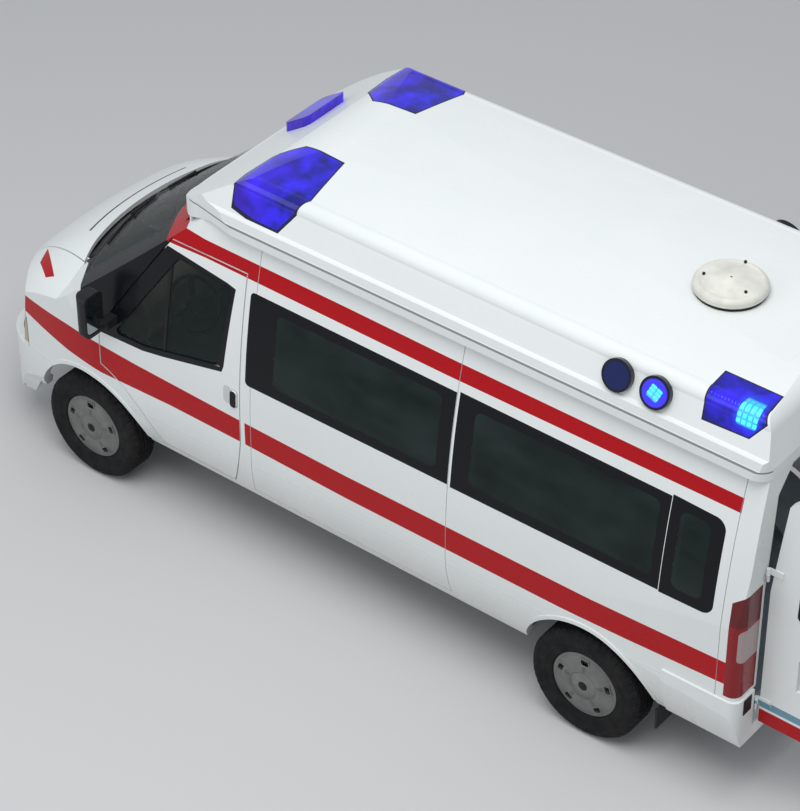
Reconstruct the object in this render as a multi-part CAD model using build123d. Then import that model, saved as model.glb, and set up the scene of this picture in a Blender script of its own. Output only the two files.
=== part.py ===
from build123d import *
import math
import os

# A long-wheelbase, high-roof van ambulance with left-hand drive, both rear doors open at a right angle.
# Millimetres. X points forward, Y to the left, Z up from the ground.
# Shapes are laid out with X measured from the front axle, and move to the origin when they are saved.

# Main layout
wheelbase = 3750
front_overhang = 933
rear_overhang = 990
half_width = 987
tyre_radius = 364.5
tyre_width = 215
track = 1736
sill_underside = 440
floor_underside = 580
floor_thickness = 60
pad_height = 10
eaves_height = 2262
roof_height = 2635
wall = 50
glass = 6
seam = 8
seat = 0.3

# Body outlines
sill_half = 905
belt_half = 972
belt_height = 1350
eaves_half = 812
waist_height = 900
nose_underside = 290
nose_top = 1050
bonnet_rear_x = 350
bonnet_rear_z = 1445
screen_base_x = 385
screen_base_z = 1365
screen_top_x = -491
screen_top_z = 2085
header_x = -640

# Seams and windows, seen from the side
door_front_x = -150
door_rear_x = -1258
door_base_z = 500
door_top_z = 2035
door_shoulder_z = 1215
door_thickness = 42
mirror_z = 1430
mirror_height = 300
panel_front_x = -1341
panel_rear_x = -2787
panel_base_z = 505
panel_top_z = 2222
corner_seam_x = -4604
window_base_z = 1330
window_top_z = 1948
window_front_x = -1302
sliding_window_front_x = -1362
window_rear_x = -4545
window_split_x = -2802
window_split_2_x = -4202
frit = 62

# Bonnet, grille and headlamps, seen from above and from the front
bonnet_half_rear = 715
bonnet_half_front = 550
bonnet_rear_drop = 150
crown_radius = 1450
crown_x = -172
crown_z = 82
bonnet_base_z = 935
bonnet_hinge_x = 165
bonnet_hinge_y = 672
bonnet_hinge_z = 1385
bonnet_pin_radius = 5
bumper_top_z = 700
arch_front_x = 360
lamp_inner_y = 430
lamp_base_z = 730
lamp_rear_x = 560

# Wheels, steering and axles
rim_radius = 205
rim_half = 76
arch_radius = 452
lip_width = 26
lip_rise = 7
liner = 6
house_inner_y = 520
rail_y = 560
rail_base_z = 470
engine_base_z = 520
axle_tube_radius = 42
kingpin_y = 760
kingpin_z = 245
kingpin_lean = 11.5
ball_radius = 14
steering_wheel_radius = 195
steering_wheel_y = 400
steering_x = -395
steering_z = 1160
steering_rake = 52

# Rear doors
rear_door_outer_y = 772
rear_door_base_z = 560
rear_door_top_z = 2232
hinge_radius = 12
hinge_back = 15
hinge_heights = (700, 1620)
hinge_reach = 42
hinge_leaf_y = 806
tail_lamp_x = -4655
tail_lamp_y = 802
tail_lamp_base_z = 835
tail_lamp_top_z = 1530
rear_bumper_stand_off = 14
rear_bumper_top_z = 812

# Lamps and roof gear
lip_half = 872
shelf_z = 2385
roof_shoulder_half = 770
fairing_top_x = -1130
fairing_top_z = 2566
vent_radius = 205
vent_height = 92
vent_x = -3920
vent_base_z = roof_height - 8
side_lamp_radius = 92
side_lamp_x = (-3770, -4010)
side_lamp_z = 2480

# Front door hinge line
door_hinge_x = door_front_x - 34
door_hinge_y = 975

# Where the origin lies: halfway from the nose to the edges of the open rear doors
nose_x = front_overhang
body_rear_x = -wheelbase - rear_overhang
hinge_x = body_rear_x - hinge_back
hinge_y = rear_door_outer_y + hinge_back
rear_reach_x = hinge_x - (hinge_y - seam / 2)
origin_x = (nose_x + rear_reach_x) / 2
big = 6000


def loop(start, *steps):
    """A face whose outline goes from point to point. A step of two points is an arc through the first."""
    edges = []
    here = start
    for step in steps + (start,):
        if isinstance(step[0], tuple):
            edges.append(ThreePointArc(here, step[0], step[1]))
            here = step[1]
        elif step != here:
            edges.append(Line(here, step))
            here = step
    return make_face(edges)


def mirrored_loop(start, *steps):
    """A face that is the same on both sides of its vertical centre line, given by its positive half."""
    edges = []
    here = start
    for step in steps:
        if isinstance(step[0], tuple):
            edges.append(ThreePointArc(here, step[0], step[1]))
            here = step[1]
        else:
            edges.append(Line(here, step))
            here = step
    return make_face(edges + [mirror(edge, about=Plane.YZ) for edge in edges])


def side_prism(face, low=-big, high=big):
    """A side-view face, X and Z, carried across from one Y to another."""
    return extrude(Plane.XZ.offset(-low) * face, amount=high - low, dir=(0, 1, 0))


def end_prism(face, low=-big, high=big):
    """An end-view face, Y and Z, carried along from one X to another."""
    return extrude(Plane.YZ.offset(low) * face, amount=high - low, dir=(1, 0, 0))


def plan_prism(face, low=-100, high=3000):
    """A plan-view face, X and Y, carried up from one Z to another."""
    return extrude(Plane.XY.offset(low) * face, amount=high - low, dir=(0, 0, 1))


def block(x0, x1, y0, y1, z0, z1):
    """A box between two corners."""
    return Pos((x0 + x1) / 2, (y0 + y1) / 2, (z0 + z1) / 2) * Box(abs(x1 - x0), abs(y1 - y0), abs(z1 - z0))


def turned(radius, low, high, x, z):
    """A round bar along Y."""
    return Pos(x, (low + high) / 2, z) * Rot(90, 0, 0) * Cylinder(radius, high - low)


def both_sides(shape):
    """The shape with its mirror image on the other side, as separate solids."""
    return Compound(shape.solids() + mirror(shape, about=Plane.XZ).solids())


def other_side(shape):
    return mirror(shape, about=Plane.XZ)


def shrunk(face, inset):
    """The face with every edge moved in by the inset."""
    if inset == 0:
        return face
    return offset(face, -inset, kind=Kind.INTERSECTION)


# Body outlines
side_outline = loop(
    (nose_x - 75, nose_underside),
    ((nose_x - 22, 365), (nose_x, 500)),
    (nose_x - 20, nose_top + 60),
    (bonnet_rear_x + 60, bonnet_rear_z + 60),
    (header_x + 160, eaves_height),
    (body_rear_x + 12, eaves_height),
    ((body_rear_x, 1500), (body_rear_x, 900)),
    (body_rear_x, 460),
    (body_rear_x + 60, sill_underside),
    (500, sill_underside),
    (600, nose_underside),
)
end_outline = mirrored_loop(
    (0, nose_underside),
    (sill_half - 60, nose_underside),
    (sill_half - 15, sill_underside),
    ((955, 610), (half_width, waist_height)),
    ((half_width - 2, 1130), (belt_half, belt_height)),
    ((900, 1870), (eaves_half, eaves_height)),
    (0, eaves_height),
)


def plan_outline(inset):
    """The outline seen from above, with the nose's round corners, moved in by the inset."""
    nose = nose_x - inset
    side = half_width + 3 - inset
    tail = body_rear_x + inset
    steps = [
        ((nose - 24, 380), (nose - 86, 690)),
        ((745 - inset * 0.7, 825 - inset * 0.7), (570, 905 - inset)),
        ((200, side - 24), (-250, side)),
        (-3500, side),
        (tail + 60, side - 15),
        ((tail + 18, side - 33), (tail, side - 75)),
    ]
    edges = []
    here = (nose, 0)
    for step in steps + [(tail, 0)]:
        arc = isinstance(step[0], tuple)
        edges.append(ThreePointArc(here, *step) if arc else Line(here, step))
        here = step[1] if arc else step
    return make_face(edges + [mirror(edge, about=Plane.XZ) for edge in edges])


def slanted_arc(base_x, base_z, top_x, top_z, half, drop, back=6500, low=0, high=2900):
    """Everything behind a sheet that is an arc in plan, leaning along the line from base to top."""
    lean = (top_x - base_x) / (top_z - base_z)
    front = base_x + lean * (low - base_z)
    face = loop(
        (front - drop, -half),
        ((front, 0), (front - drop, half)),
        (front - back, half),
        (front - back, -half),
    )
    rise = Vector(lean * (high - low), 0, high - low)
    return extrude(Pos(0, 0, low) * face, amount=rise.length, dir=rise.normalized())


def bonnet_crown(inset):
    """Everything below the crowned sheet that the bonnet and the wing tops follow: a barrel across the nose."""
    top = crown_radius - inset
    section = mirrored_loop(
        (0, 0),
        (1000, 0),
        (1000, top - 247),
        ((880, top - 161), (760, top - 97)),
        ((630, top - 49), (500, top - 25)),
        ((250, top - 6), (0, top)),
    )
    barrel = revolve(Plane(origin=(0, 0, 0), x_dir=(0, 1, 0), z_dir=(1, 0, 0)) * section, axis=Axis.Y)
    return Pos(crown_x, 0, crown_z) * barrel


def nose_sheet(inset):
    """Everything behind the leaning, strongly curved face of the grille and the headlamps."""
    return slanted_arc(nose_x + 12 - inset, bumper_top_z, nose_x - 30 - inset, nose_top, 990, 430)


def screen_sheet(inset):
    """Everything behind the windscreen."""
    lean = math.hypot(screen_top_x - screen_base_x, screen_top_z - screen_base_z)
    shift = inset * lean / (screen_top_z - screen_base_z)
    return slanted_arc(
        screen_base_x - shift, screen_base_z, screen_top_x - shift, screen_top_z, 1000, 330)


def hull(inset):
    """The closed volume of the steel body, shrunk all round by the inset."""
    body = side_prism(shrunk(side_outline, inset))
    body &= end_prism(shrunk(end_outline, inset))
    body &= plan_prism(plan_outline(inset))
    body -= block(-2000, 1500, -1200, 1200, 1000, 3000) - bonnet_crown(inset) - screen_sheet(inset)
    body -= block(200, 1500, -1200, 1200, bumper_top_z + inset, 3000) - nose_sheet(inset)
    return body


outer = hull(0)
inner = hull(wall)
shell = outer - inner - block(body_rear_x + wall, -700, -760, 760, 2000, 2400)
shell -= block(body_rear_x + wall, 640, -780, 780, 200, sill_underside + wall + 2)
glass_skin = outer - hull(glass)


def save(name, shape):
    """Puts a node at the part's origin and writes it."""
    solids = [Pos(-origin_x, 0, 0) * solid for solid in shape.solids()]
    export_step(Compound(solids), os.path.join("parts", name + ".step"))


def arch(x, radius, reach=1200):
    """The round space of one wheel, from the wheelhouse's inner wall outwards, on the left side."""
    space = turned(radius, house_inner_y, reach, x, tyre_radius)
    return space + block(x - radius, x + radius, house_inner_y, reach, 0, tyre_radius)


arches = arch(0, arch_radius) + arch(-wheelbase, arch_radius)


def arch_lip(x):
    """The raised lip round one arch, on the left side."""
    ring = turned(arch_radius + lip_width, house_inner_y, 1200, x, tyre_radius)
    ring &= block(x - 900, x + 900, 500, 1200, sill_underside + 40, 2000)
    return (hull(-lip_rise) - hull(wall / 2)) & ring - arches


def rounded(face, radius):
    return fillet(face.vertices(), radius)


# Side-view outlines of the doors, panels and windows
door_face = loop(
    (door_front_x, 950),
    (door_front_x, door_shoulder_z),
    (-690, door_top_z),
    (door_rear_x, door_top_z + 4),
    (door_rear_x, 1000),
    ((door_rear_x + 22, 760), (door_rear_x + 118, door_base_z)),
    (-566, door_base_z),
    ((-405, 781), (door_front_x, 950)),
)
door_window_face = loop(
    (door_front_x - 65, 1205),
    (-520, 1215),
    (-1118, 1345),
    (-1190, 1895),
    (-1150, 1932),
    (-735, 1965),
)
panel_face = loop(
    (panel_front_x, panel_top_z),
    (panel_front_x, 1000),
    ((panel_front_x + 8, 760), (panel_front_x + 40, panel_base_z)),
    (panel_rear_x, panel_base_z),
    (panel_rear_x, panel_top_z),
)


# Side windows: front and rear edge, rounding at each, and the edges of the clear area inside the black border
pane_table = {
    "front": (window_front_x, panel_rear_x + seam / 2 + 1, 30, 0, -1508, -2692),
    "sliding": (sliding_window_front_x, panel_rear_x + seam / 2 + 1, 30, 0, -1508, -2692),
    "middle": (window_split_x, window_split_2_x + 2, 0, 0, -2920, -4140),
    "rear": (window_split_2_x - 2, window_rear_x, 0, 70, -4270, -4462),
}


def pane_face(name):
    """A side window's outline; its end at the rear or the front has large corners."""
    front, rear, round_front, round_rear, clear_front, clear_rear = pane_table[name]
    face = loop((front, window_base_z), (front, window_top_z), (rear, window_top_z - 12), (rear, window_base_z + 8))
    if round_front:
        face = fillet(face.vertices().group_by(Axis.X)[-1], round_front)
    if round_rear:
        face = fillet(face.vertices().group_by(Axis.X)[0], round_rear)
    return face


panes = {name: pane_face(name) for name in pane_table}


def pane_hole(name):
    """The see-through hole behind a pane, inside its black border."""
    clear_front, clear_rear = pane_table[name][4:]
    low, high = window_base_z + frit, window_top_z - frit - 6
    return rounded(loop((clear_front, low), (clear_front, high), (clear_rear, high), (clear_rear, low)), 40)


def left_part(shape, face):
    return shape & side_prism(face, 500, 1500)


def panel_shapes(name):
    """A side panel between the pillars with its window, on the left side: fixed, or the sliding door."""
    panel = left_part(shell, shrunk(panel_face, seam / 2))
    pane = left_part(glass_skin, panes[name])
    panel -= side_prism(panes[name], 500, 1500) & glass_skin
    panel -= side_prism(pane_hole(name), 500, 1500)
    return panel, pane


def body_side_shape(front_pane):
    """The pillar, cantrail, sill and quarter panel behind the left front door."""
    zone = block(corner_seam_x + 1, panel_front_x + seam / 2 + 40, 500, 1500, sill_underside, eaves_height)
    side = shell & zone
    side -= side_prism(panel_face, 500, 1500)
    side -= side_prism(door_opening, 500, 1500)
    side -= arches
    for name in ("middle", "rear"):
        side -= side_prism(pane_hole(name), 500, 1500)
    for name in ("middle", "rear", front_pane):
        side -= side_prism(panes[name], 500, 1500) & glass_skin
    side -= block(-big, -4270, 500, 1500, 0, rear_bumper_top_z) - hull(wall / 2)
    side += arch_lip(-wheelbase) - block(-big, -4270 + seat, 0, 1200, 0, rear_bumper_top_z)
    return side


def side_glass_shape():
    return Compound([left_part(glass_skin, panes[name]).solid() for name in ("middle", "rear")])


door_opening = offset(door_face, seam, kind=Kind.INTERSECTION)


def front_door_shapes():
    """The left front door, its glass, and the mirror on its corner."""
    face = shrunk(door_face, 0)
    door = (outer - hull(door_thickness)) & side_prism(face, 500, 1500)
    hole = rounded(shrunk(door_window_face, 28), 26)
    door -= side_prism(hole, 500, 1500)
    pane = (hull(10) - hull(10 + glass)) & side_prism(rounded(shrunk(door_window_face, 14), 20), 500, 1500)
    door -= pane
    handle = side_prism(rounded(loop((-1243, 1135), (-1243, 1250), (-1196, 1250), (-1196, 1135)), 20), 900, 1500)
    door += (hull(-12) - hull(10)) & handle
    return door, pane


def mirror_shape():
    """A tall mirror housing with a rounded front, on a short foot at the door's front corner."""
    low, high = mirror_z - mirror_height / 2, mirror_z + mirror_height / 2
    plan = loop((-251, 1036), (-251, 1188), ((-200, 1194), (-162, 1128)), ((-176, 1072), (-216, 1036)))
    face = rounded(loop((1032, low), (1198, low), (1198, high), (1032, high)), 50)
    housing = plan_prism(plan, low, high) & end_prism(face, -300, -100)
    glass_face = rounded(loop((1050, low + 20), (1178, low + 20), (1178, high - 20), (1050, high - 20)), 40)
    glass_cut = end_prism(glass_face, -300, -241)
    arm = block(-300, -238, 940, 1060, low + 27, low + 87)
    return housing - glass_cut + (arm - hull(-seat))


wing_face = loop(
    (-585, 300),
    (-585, 900),
    (door_front_x + seam, 960),
    (door_front_x + seam, 1232),
    (190, 1291),
    (190, 1500),
    (1200, 1500),
    (1200, 600),
    (400, 600),
    (400, 300),
)


def wing_zone(gap):
    """The space of the left wing, which stops at the bonnet's rear corner."""
    face = wing_face if gap == 0 else offset(wing_face, gap, kind=Kind.INTERSECTION)
    zone = side_prism(face, bonnet_half_front + 10 - gap, 1500)
    corner = bonnet_rear_x - bonnet_rear_drop
    zone -= block(-2000, corner + 60 - gap, 0, bonnet_half_rear - 18 - gap, 1100, 1500)
    return zone - block(-2000, corner - gap, 0, bonnet_half_rear + 1 - gap, 1100, 1500)


def wing_shape():
    """The wing's side and top, from the front door to the headlamp and the bumper."""
    wing = shell & wing_zone(0)
    wing -= side_prism(door_opening, 300, 1500)
    wing -= bonnet_zone(seam)
    wing -= lamp_zone(seat)
    wing -= arches
    wing -= block(lamp_rear_x - seam, 1200, 0, 1200, 0, lamp_base_z + 200)
    wing += arch_lip(0) - block(arch_front_x, 1200, 0, 1200, 0, bumper_top_z)
    wing += wheelhouse_liner()
    wing -= block(arch_front_x - seat, 1200, 0, 1200, 0, bumper_top_z + seat)
    return wing


def wheelhouse_liner():
    """The pressed inner half of the front wheelhouse, with a hole for the strut."""
    shape = turned(arch_radius + liner, house_inner_y - liner, 1200, 0, tyre_radius) & hull(wall / 2)
    shape &= block(-600, arch_front_x, 0, 1200, floor_underside - 90, 2000)
    shape -= arches
    lean = Pos(0, kingpin_y, kingpin_z) * Rot(kingpin_lean, 0, 0)
    return shape - lean * Pos(0, 0, 600) * Cylinder(42, 400)


def bonnet_zone(gap):
    """The space that the bonnet takes, grown by a gap."""
    half_rear, half_front = bonnet_half_rear + 1.7 * gap, bonnet_half_front + gap
    rear = bonnet_rear_x - gap
    corner = rear - bonnet_rear_drop - gap
    face = loop(
        (1300, -half_front + 60),
        (700, -half_front),
        (corner, -half_rear),
        ((rear, 0), (corner, half_rear)),
        (700, half_front),
        (1300, half_front - 60),
    )
    return plan_prism(face, bonnet_base_z - gap, 1700)


def lamp_zone(gap):
    """The space of the left headlamp, seen from the front, grown by a gap."""
    face = loop(
        (lamp_inner_y - gap, lamp_base_z - gap),
        (lamp_inner_y - gap, 900),
        (lamp_inner_y + 60 - gap, bonnet_base_z + gap),
        (620, 990 + gap),
        (1100, 990 + gap),
        (1100, lamp_base_z - gap),
    )
    return end_prism(face, lamp_rear_x - gap, 1200)


def front_end_shapes():
    """The bonnet, headlamps, grille and front bumper."""
    bonnet = (outer - hull(30)) & bonnet_zone(0)
    bonnet -= block(0, 900, -1000, 1000, 0, bonnet_base_z)
    bonnet -= lamp_zone(seam) + other_side(lamp_zone(seam))
    arm_face = loop((-9, -10), (-9, 9), (60, 9), (98, 4), (98, -22), (60, -14))
    arm = side_prism(arm_face, bonnet_hinge_y - 6, bonnet_hinge_y + 6)
    arm -= turned(bonnet_pin_radius + seat, 0, 1000, 0, 0)
    arm = Pos(bonnet_hinge_x, 0, bonnet_hinge_z) * arm
    bonnet += arm + other_side(arm)
    lamp = (outer - hull(60)) & lamp_zone(0) - bonnet_zone(seam)
    grille_zone = block(600, 1200, -lamp_inner_y + seat, lamp_inner_y - seat, lamp_base_z, bonnet_base_z - seam)
    grille = (outer - hull(wall)) & grille_zone
    for z in range(lamp_base_z + 25, bonnet_base_z - 45, 40):
        grille -= block(600, 1200, -lamp_inner_y + 40, lamp_inner_y - 40, z, z + 22)
    bumper = shell & block(arch_front_x, 1200, -1200, 1200, 0, bumper_top_z)
    bumper += shell & block(lamp_rear_x, 1200, -1200, 1200, bumper_top_z - 1, lamp_base_z - seat)
    lips = arch_lip(0) & block(arch_front_x, 1200, 0, 1200, 0, bumper_top_z)
    bumper += lips + other_side(lips)
    bumper -= arches + other_side(arches)
    bumper -= block(600, 1200, -400, 400, 400, 520)
    bumper -= block(300, 820, -840, 840, 200, 500)
    return bonnet, lamp, grille, bumper


def screen_zone(inset):
    """The windscreen's outline, seen square on to the glass, as a prism through it."""
    centre = Vector((screen_base_x + screen_top_x) / 2, 0, (screen_base_z + screen_top_z) / 2)
    normal = Vector(screen_top_z - screen_base_z, 0, screen_base_x - screen_top_x).normalized()
    plane = Plane(origin=centre, x_dir=(0, 1, 0), z_dir=normal)
    face = rounded(shrunk(screen_outline, inset), 60)
    return extrude(plane * face, amount=500, dir=normal, both=True)


screen_outline = loop(
    (-850, -300),
    ((0, -375), (850, -300)),
    (750, 500),
    ((0, 560), (-750, 500)),
)


def cab_frame_shape():
    """The cowl, windscreen frame, roof front and front pillars, with the sill under each front door."""
    zone = block(panel_front_x + seam / 2 + 40, 1200, -1200, 1200, sill_underside, eaves_height)
    frame = shell & zone
    frame -= side_prism(panel_face, -1500, 1500)
    frame -= side_prism(door_opening, -1500, 1500)
    frame -= wing_zone(seat) + other_side(wing_zone(seat))
    frame -= roof_volume(0)
    frame -= block(-200, 1500, -1200, 1200, 1000, 3000) - screen_sheet(0)
    frame -= bonnet_zone(seam) + block(300, 1300, -1200, 1200, 0, 1200)
    frame -= screen_zone(0) & glass_skin
    frame -= screen_zone(45)
    frame -= arches + other_side(arches)
    frame -= block(-1400, 1300, -850, 850, 0, 1100)
    slot_face = loop((-16, -17), (-16, 95), (64, 95), (64, -17))
    slot = side_prism(slot_face, bonnet_hinge_y - 12, bonnet_hinge_y + 12)
    pin = turned(bonnet_pin_radius, bonnet_hinge_y - 18, bonnet_hinge_y + 18, 0, 0)
    slot = Pos(bonnet_hinge_x, 0, bonnet_hinge_z) * slot
    pin = Pos(bonnet_hinge_x, 0, bonnet_hinge_z) * pin
    return frame - slot - other_side(slot) + pin + other_side(pin)


def rear_frame_shape():
    """The two rear corner pillars with the rail above and the sill below the rear doors."""
    frame = shell & block(body_rear_x - 5, corner_seam_x - 3, -1200, 1200, sill_underside, eaves_height)
    frame -= rear_opening(seam / 2)
    frame -= lamp_pocket + other_side(lamp_pocket)
    frame -= block(-big, -4270, -1500, 1500, 0, rear_bumper_top_z) - hull(wall / 2)
    return frame


def rear_door_face(gap):
    """The left rear door seen from behind, as Y and Z."""
    outer_y = rear_door_outer_y + gap
    face = loop(
        (seam / 2 - gap, rear_door_base_z - gap),
        (outer_y, rear_door_base_z - gap),
        (outer_y, 1500),
        (outer_y - 62, rear_door_top_z - 130),
        (outer_y - 190, rear_door_top_z + gap),
        (seam / 2 - gap, rear_door_top_z + gap),
    )
    return face


def rear_opening(gap):
    half = end_prism(rear_door_face(seam), body_rear_x - 50, body_rear_x + 400)
    middle = block(body_rear_x - 50, body_rear_x + 400, -40, 40, rear_door_base_z - seam, rear_door_top_z + seam)
    return half + other_side(half) + middle


def tail_lamp_zone(gap):
    """The space of the left tail lamp, whose top slopes up to the rear, shrunk by a gap."""
    face = loop(
        (tail_lamp_x - gap, tail_lamp_base_z + gap),
        (tail_lamp_x - gap, tail_lamp_top_z - 45 - gap),
        (body_rear_x - 20, tail_lamp_top_z + 45 - gap),
        (body_rear_x - 20, tail_lamp_base_z + gap),
    )
    return side_prism(face, tail_lamp_y + gap, 1200)


lamp_pocket = tail_lamp_zone(0)


def rear_door_shapes():
    """The left rear door, shut, and its glass."""
    door = (outer - hull(wall - 2)) & end_prism(rear_door_face(0), body_rear_x - 50, body_rear_x + 90)
    window = loop((110, 1340), (640, 1340), (625, 1960), (110, 1960))
    pane = (hull(4) - hull(4 + glass)) & end_prism(rounded(window, 50), body_rear_x - 50, body_rear_x + 90)
    door -= pane
    door -= end_prism(rounded(shrunk(window, 40), 40), body_rear_x - 50, body_rear_x + 400)
    door -= block(body_rear_x - 10, body_rear_x + 22, 60, 560, 900, 1120)
    for z in hinge_heights:
        door += block(body_rear_x - 7, body_rear_x - seat, rear_door_outer_y - 70, hinge_y, z + seat, z + hinge_reach)
        door += block(
            body_rear_x - 7, body_rear_x + 6, rear_door_outer_y - 70, rear_door_outer_y - 22, z + seat, z + hinge_reach)
        door += Pos(hinge_x, hinge_y, z + (hinge_reach + seat) / 2) * Cylinder(hinge_radius, hinge_reach - seat)
    return door, pane


def rear_hinge_shapes():
    """The frame's half of each left rear door hinge: a leaf and a barrel."""
    halves = []
    for z in hinge_heights:
        leaf = block(body_rear_x - 7, body_rear_x - seat, hinge_y, hinge_leaf_y, z - hinge_reach, z)
        halves.append(leaf + Pos(hinge_x, hinge_y, z - hinge_reach / 2) * Cylinder(hinge_radius, hinge_reach))
    return halves


def opened(shape):
    """A shut left rear door's part, swung to a right angle."""
    return Pos(hinge_x, hinge_y, 0) * Rot(0, 0, -90) * Pos(-hinge_x, -hinge_y, 0) * shape


def roof_end(inset):
    """The raised roof's cross section; only its outer face has the drip moulding."""
    lip = [
        (lip_half, eaves_height + 20),
        (lip_half, eaves_height + 50),
        (lip_half - 12, eaves_height + 62),
        (lip_half - 20, shelf_z - 10),
        (lip_half - 32, shelf_z),
    ]
    shoulder = roof_shoulder_half - inset
    crown = [
        (lip_half - 42 - inset, shelf_z + 4),
        (shoulder + 8, 2530),
        ((shoulder - 16, 2582 - inset * 0.6), (shoulder - 72, 2598 - inset)),
        ((350, 2627 - inset), (0, roof_height - inset)),
    ]
    if inset == 0:
        return mirrored_loop((0, eaves_height), (eaves_half + 12, eaves_height), *lip, *crown)
    return mirrored_loop((0, eaves_height), (lip_half - 40 - inset, eaves_height), *crown)


def roof_side(inset):
    """The raised roof seen from the side; only its outer face curls down over the windscreen."""
    foot_x, foot_z = header_x - 40, 2268
    fall = (fairing_top_z - foot_z) / (foot_x - fairing_top_x)
    top_x = fairing_top_x - inset * fall / math.hypot(1, fall)
    top_z = fairing_top_z - inset / math.hypot(1, fall)
    base_z = eaves_height + inset
    outline = [
        (top_x, top_z),
        ((fairing_top_x - 130 - inset * 0.25, 2613 - inset), (fairing_top_x - 330, roof_height - 6 - inset)),
        ((-2700, roof_height - inset), (-4500, roof_height - 8 - inset)),
        ((-4632 + inset * 0.7, roof_height - 28 - inset * 0.7), (-4690 + inset, 2520 - inset * 0.3)),
        (-4735 + inset, 2330),
        (-4735 + inset, base_z),
    ]
    if inset == 0:
        curl = ((header_x + 2, 2232), (foot_x, foot_z))
        return loop((header_x + 12, 2196), curl, *outline, (-960, base_z), (-760, 2196))
    return loop((top_x + (top_z - base_z) / fall, base_z), *outline)


def roof_plan(inset):
    half = lip_half - inset
    front = header_x + 12 - inset
    rear = -4735 + inset
    steps = [
        ((front - 14, 330), (front - 44, 600)),
        ((front - 90, 760 - inset * 0.8), (front - 220, 812 - inset)),
        (-1150, half),
        (rear + 110, half),
        ((rear + 25, half - 30), (rear, half - 110)),
    ]
    edges = []
    here = (front, 0)
    for step in steps + [(rear, 0)]:
        arc = isinstance(step[0], tuple)
        edges.append(ThreePointArc(here, *step) if arc else Line(here, step))
        here = step[1] if arc else step
    return make_face(edges + [mirror(edge, about=Plane.XZ) for edge in edges])


def roof_volume(inset):
    """The closed form of the raised roof, shrunk from above and the sides by the inset."""
    volume = side_prism(roof_side(inset))
    tall = end_prism(roof_end(inset)) + block(-big, 0, -lip_half + inset, lip_half - inset, 2000, eaves_height + 20)
    return volume & tall & plan_prism(roof_plan(inset))


def front_lamp_zone():
    face = loop((-1245, 310), (-1535, 330), (-1597, 700), (-1560, 772), (-1434, 835), (-1125, 812), (-1083, 640), (-1106, 435))
    return plan_prism(rounded(face, 30), shelf_z + 20, 3000)


def rear_lamp_zone():
    face = loop((-4298, 2452), (-4272, 2700), (-4560, 2700), (-4650, 2560), (-4575, 2462))
    return side_prism(face, 585, 1200)


def roof_shapes():
    """The raised roof shell with its corner lamps."""
    full = roof_volume(0)
    roof = full - roof_volume(35)
    roof -= block(body_rear_x + 90, -1250, -735, 735, 2200, eaves_height + 60)
    roof -= Pos(vent_x, 0, vent_base_z + 50) * Cylinder(vent_radius - 18, 100)
    front_lamp = (full - roof_volume(60)) & front_lamp_zone()
    rear_lamp = (full - roof_volume(60)) & rear_lamp_zone()
    for cutter in (front_lamp, rear_lamp):
        roof -= cutter + other_side(cutter)
    front_zone = plan_prism(rounded(loop((-770, -410), (-955, -410), (-955, -50), (-770, -50)), 40), 2295, 2700)
    centre_lamp = (roof_volume(-55) - roof_volume(-seat)) & front_zone
    side_lamps = []
    for x in side_lamp_x:
        bar = Pos(x, 800, side_lamp_z) * Rot(-90 + 20, 0, 0) * Cylinder(side_lamp_radius, 60)
        side_lamps.append(bar - full)
    return roof, front_lamp, rear_lamp, side_lamps, centre_lamp


def tail_lamp_shape():
    """The left tail lamp, in the corner pillar's pocket."""
    return (outer - hull(40)) & tail_lamp_zone(seat)


def rear_bumper_shape():
    """The rear bumper, which wraps both corners and stands a little proud."""
    cover = hull(-rear_bumper_stand_off) - hull(wall / 2)
    cover &= block(-big, -4270 - seat, -1500, 1500, 430, rear_bumper_top_z - seat)
    cover -= block(-big, body_rear_x + 300, -808, 808, rear_door_base_z - 14, 2000)
    cover -= block(body_rear_x + 30, 0, -842, 842, 0, 3000)
    cover -= block(-big, big, -1500, 1500, 0, 452) - block(-big, big, -1500, 1500, 0, 100)
    return cover - arches - other_side(arches)


def floor_shape():
    """The flat floor, with the raised wheel boxes at the rear and the cab's toe board."""
    low, high = floor_underside, floor_underside + floor_thickness
    plate = inner & block(body_rear_x + wall + 4, -580, -1000, 1000, low, high)
    cab = block(-580, 60, -500, 500, low, high)
    toe = block(60, 110, -500, 500, low, 1050)
    boxes = turned(arch_radius + 30, house_inner_y - 30, 870, -wheelbase, tyre_radius)
    boxes &= block(-big, big, 0, 1200, low, 2000)
    pad = block(-4200, -2200, -300, 300, high, high + pad_height)
    return plate + cab + toe + pad + both_sides(boxes) - arches - other_side(arches)


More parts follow.
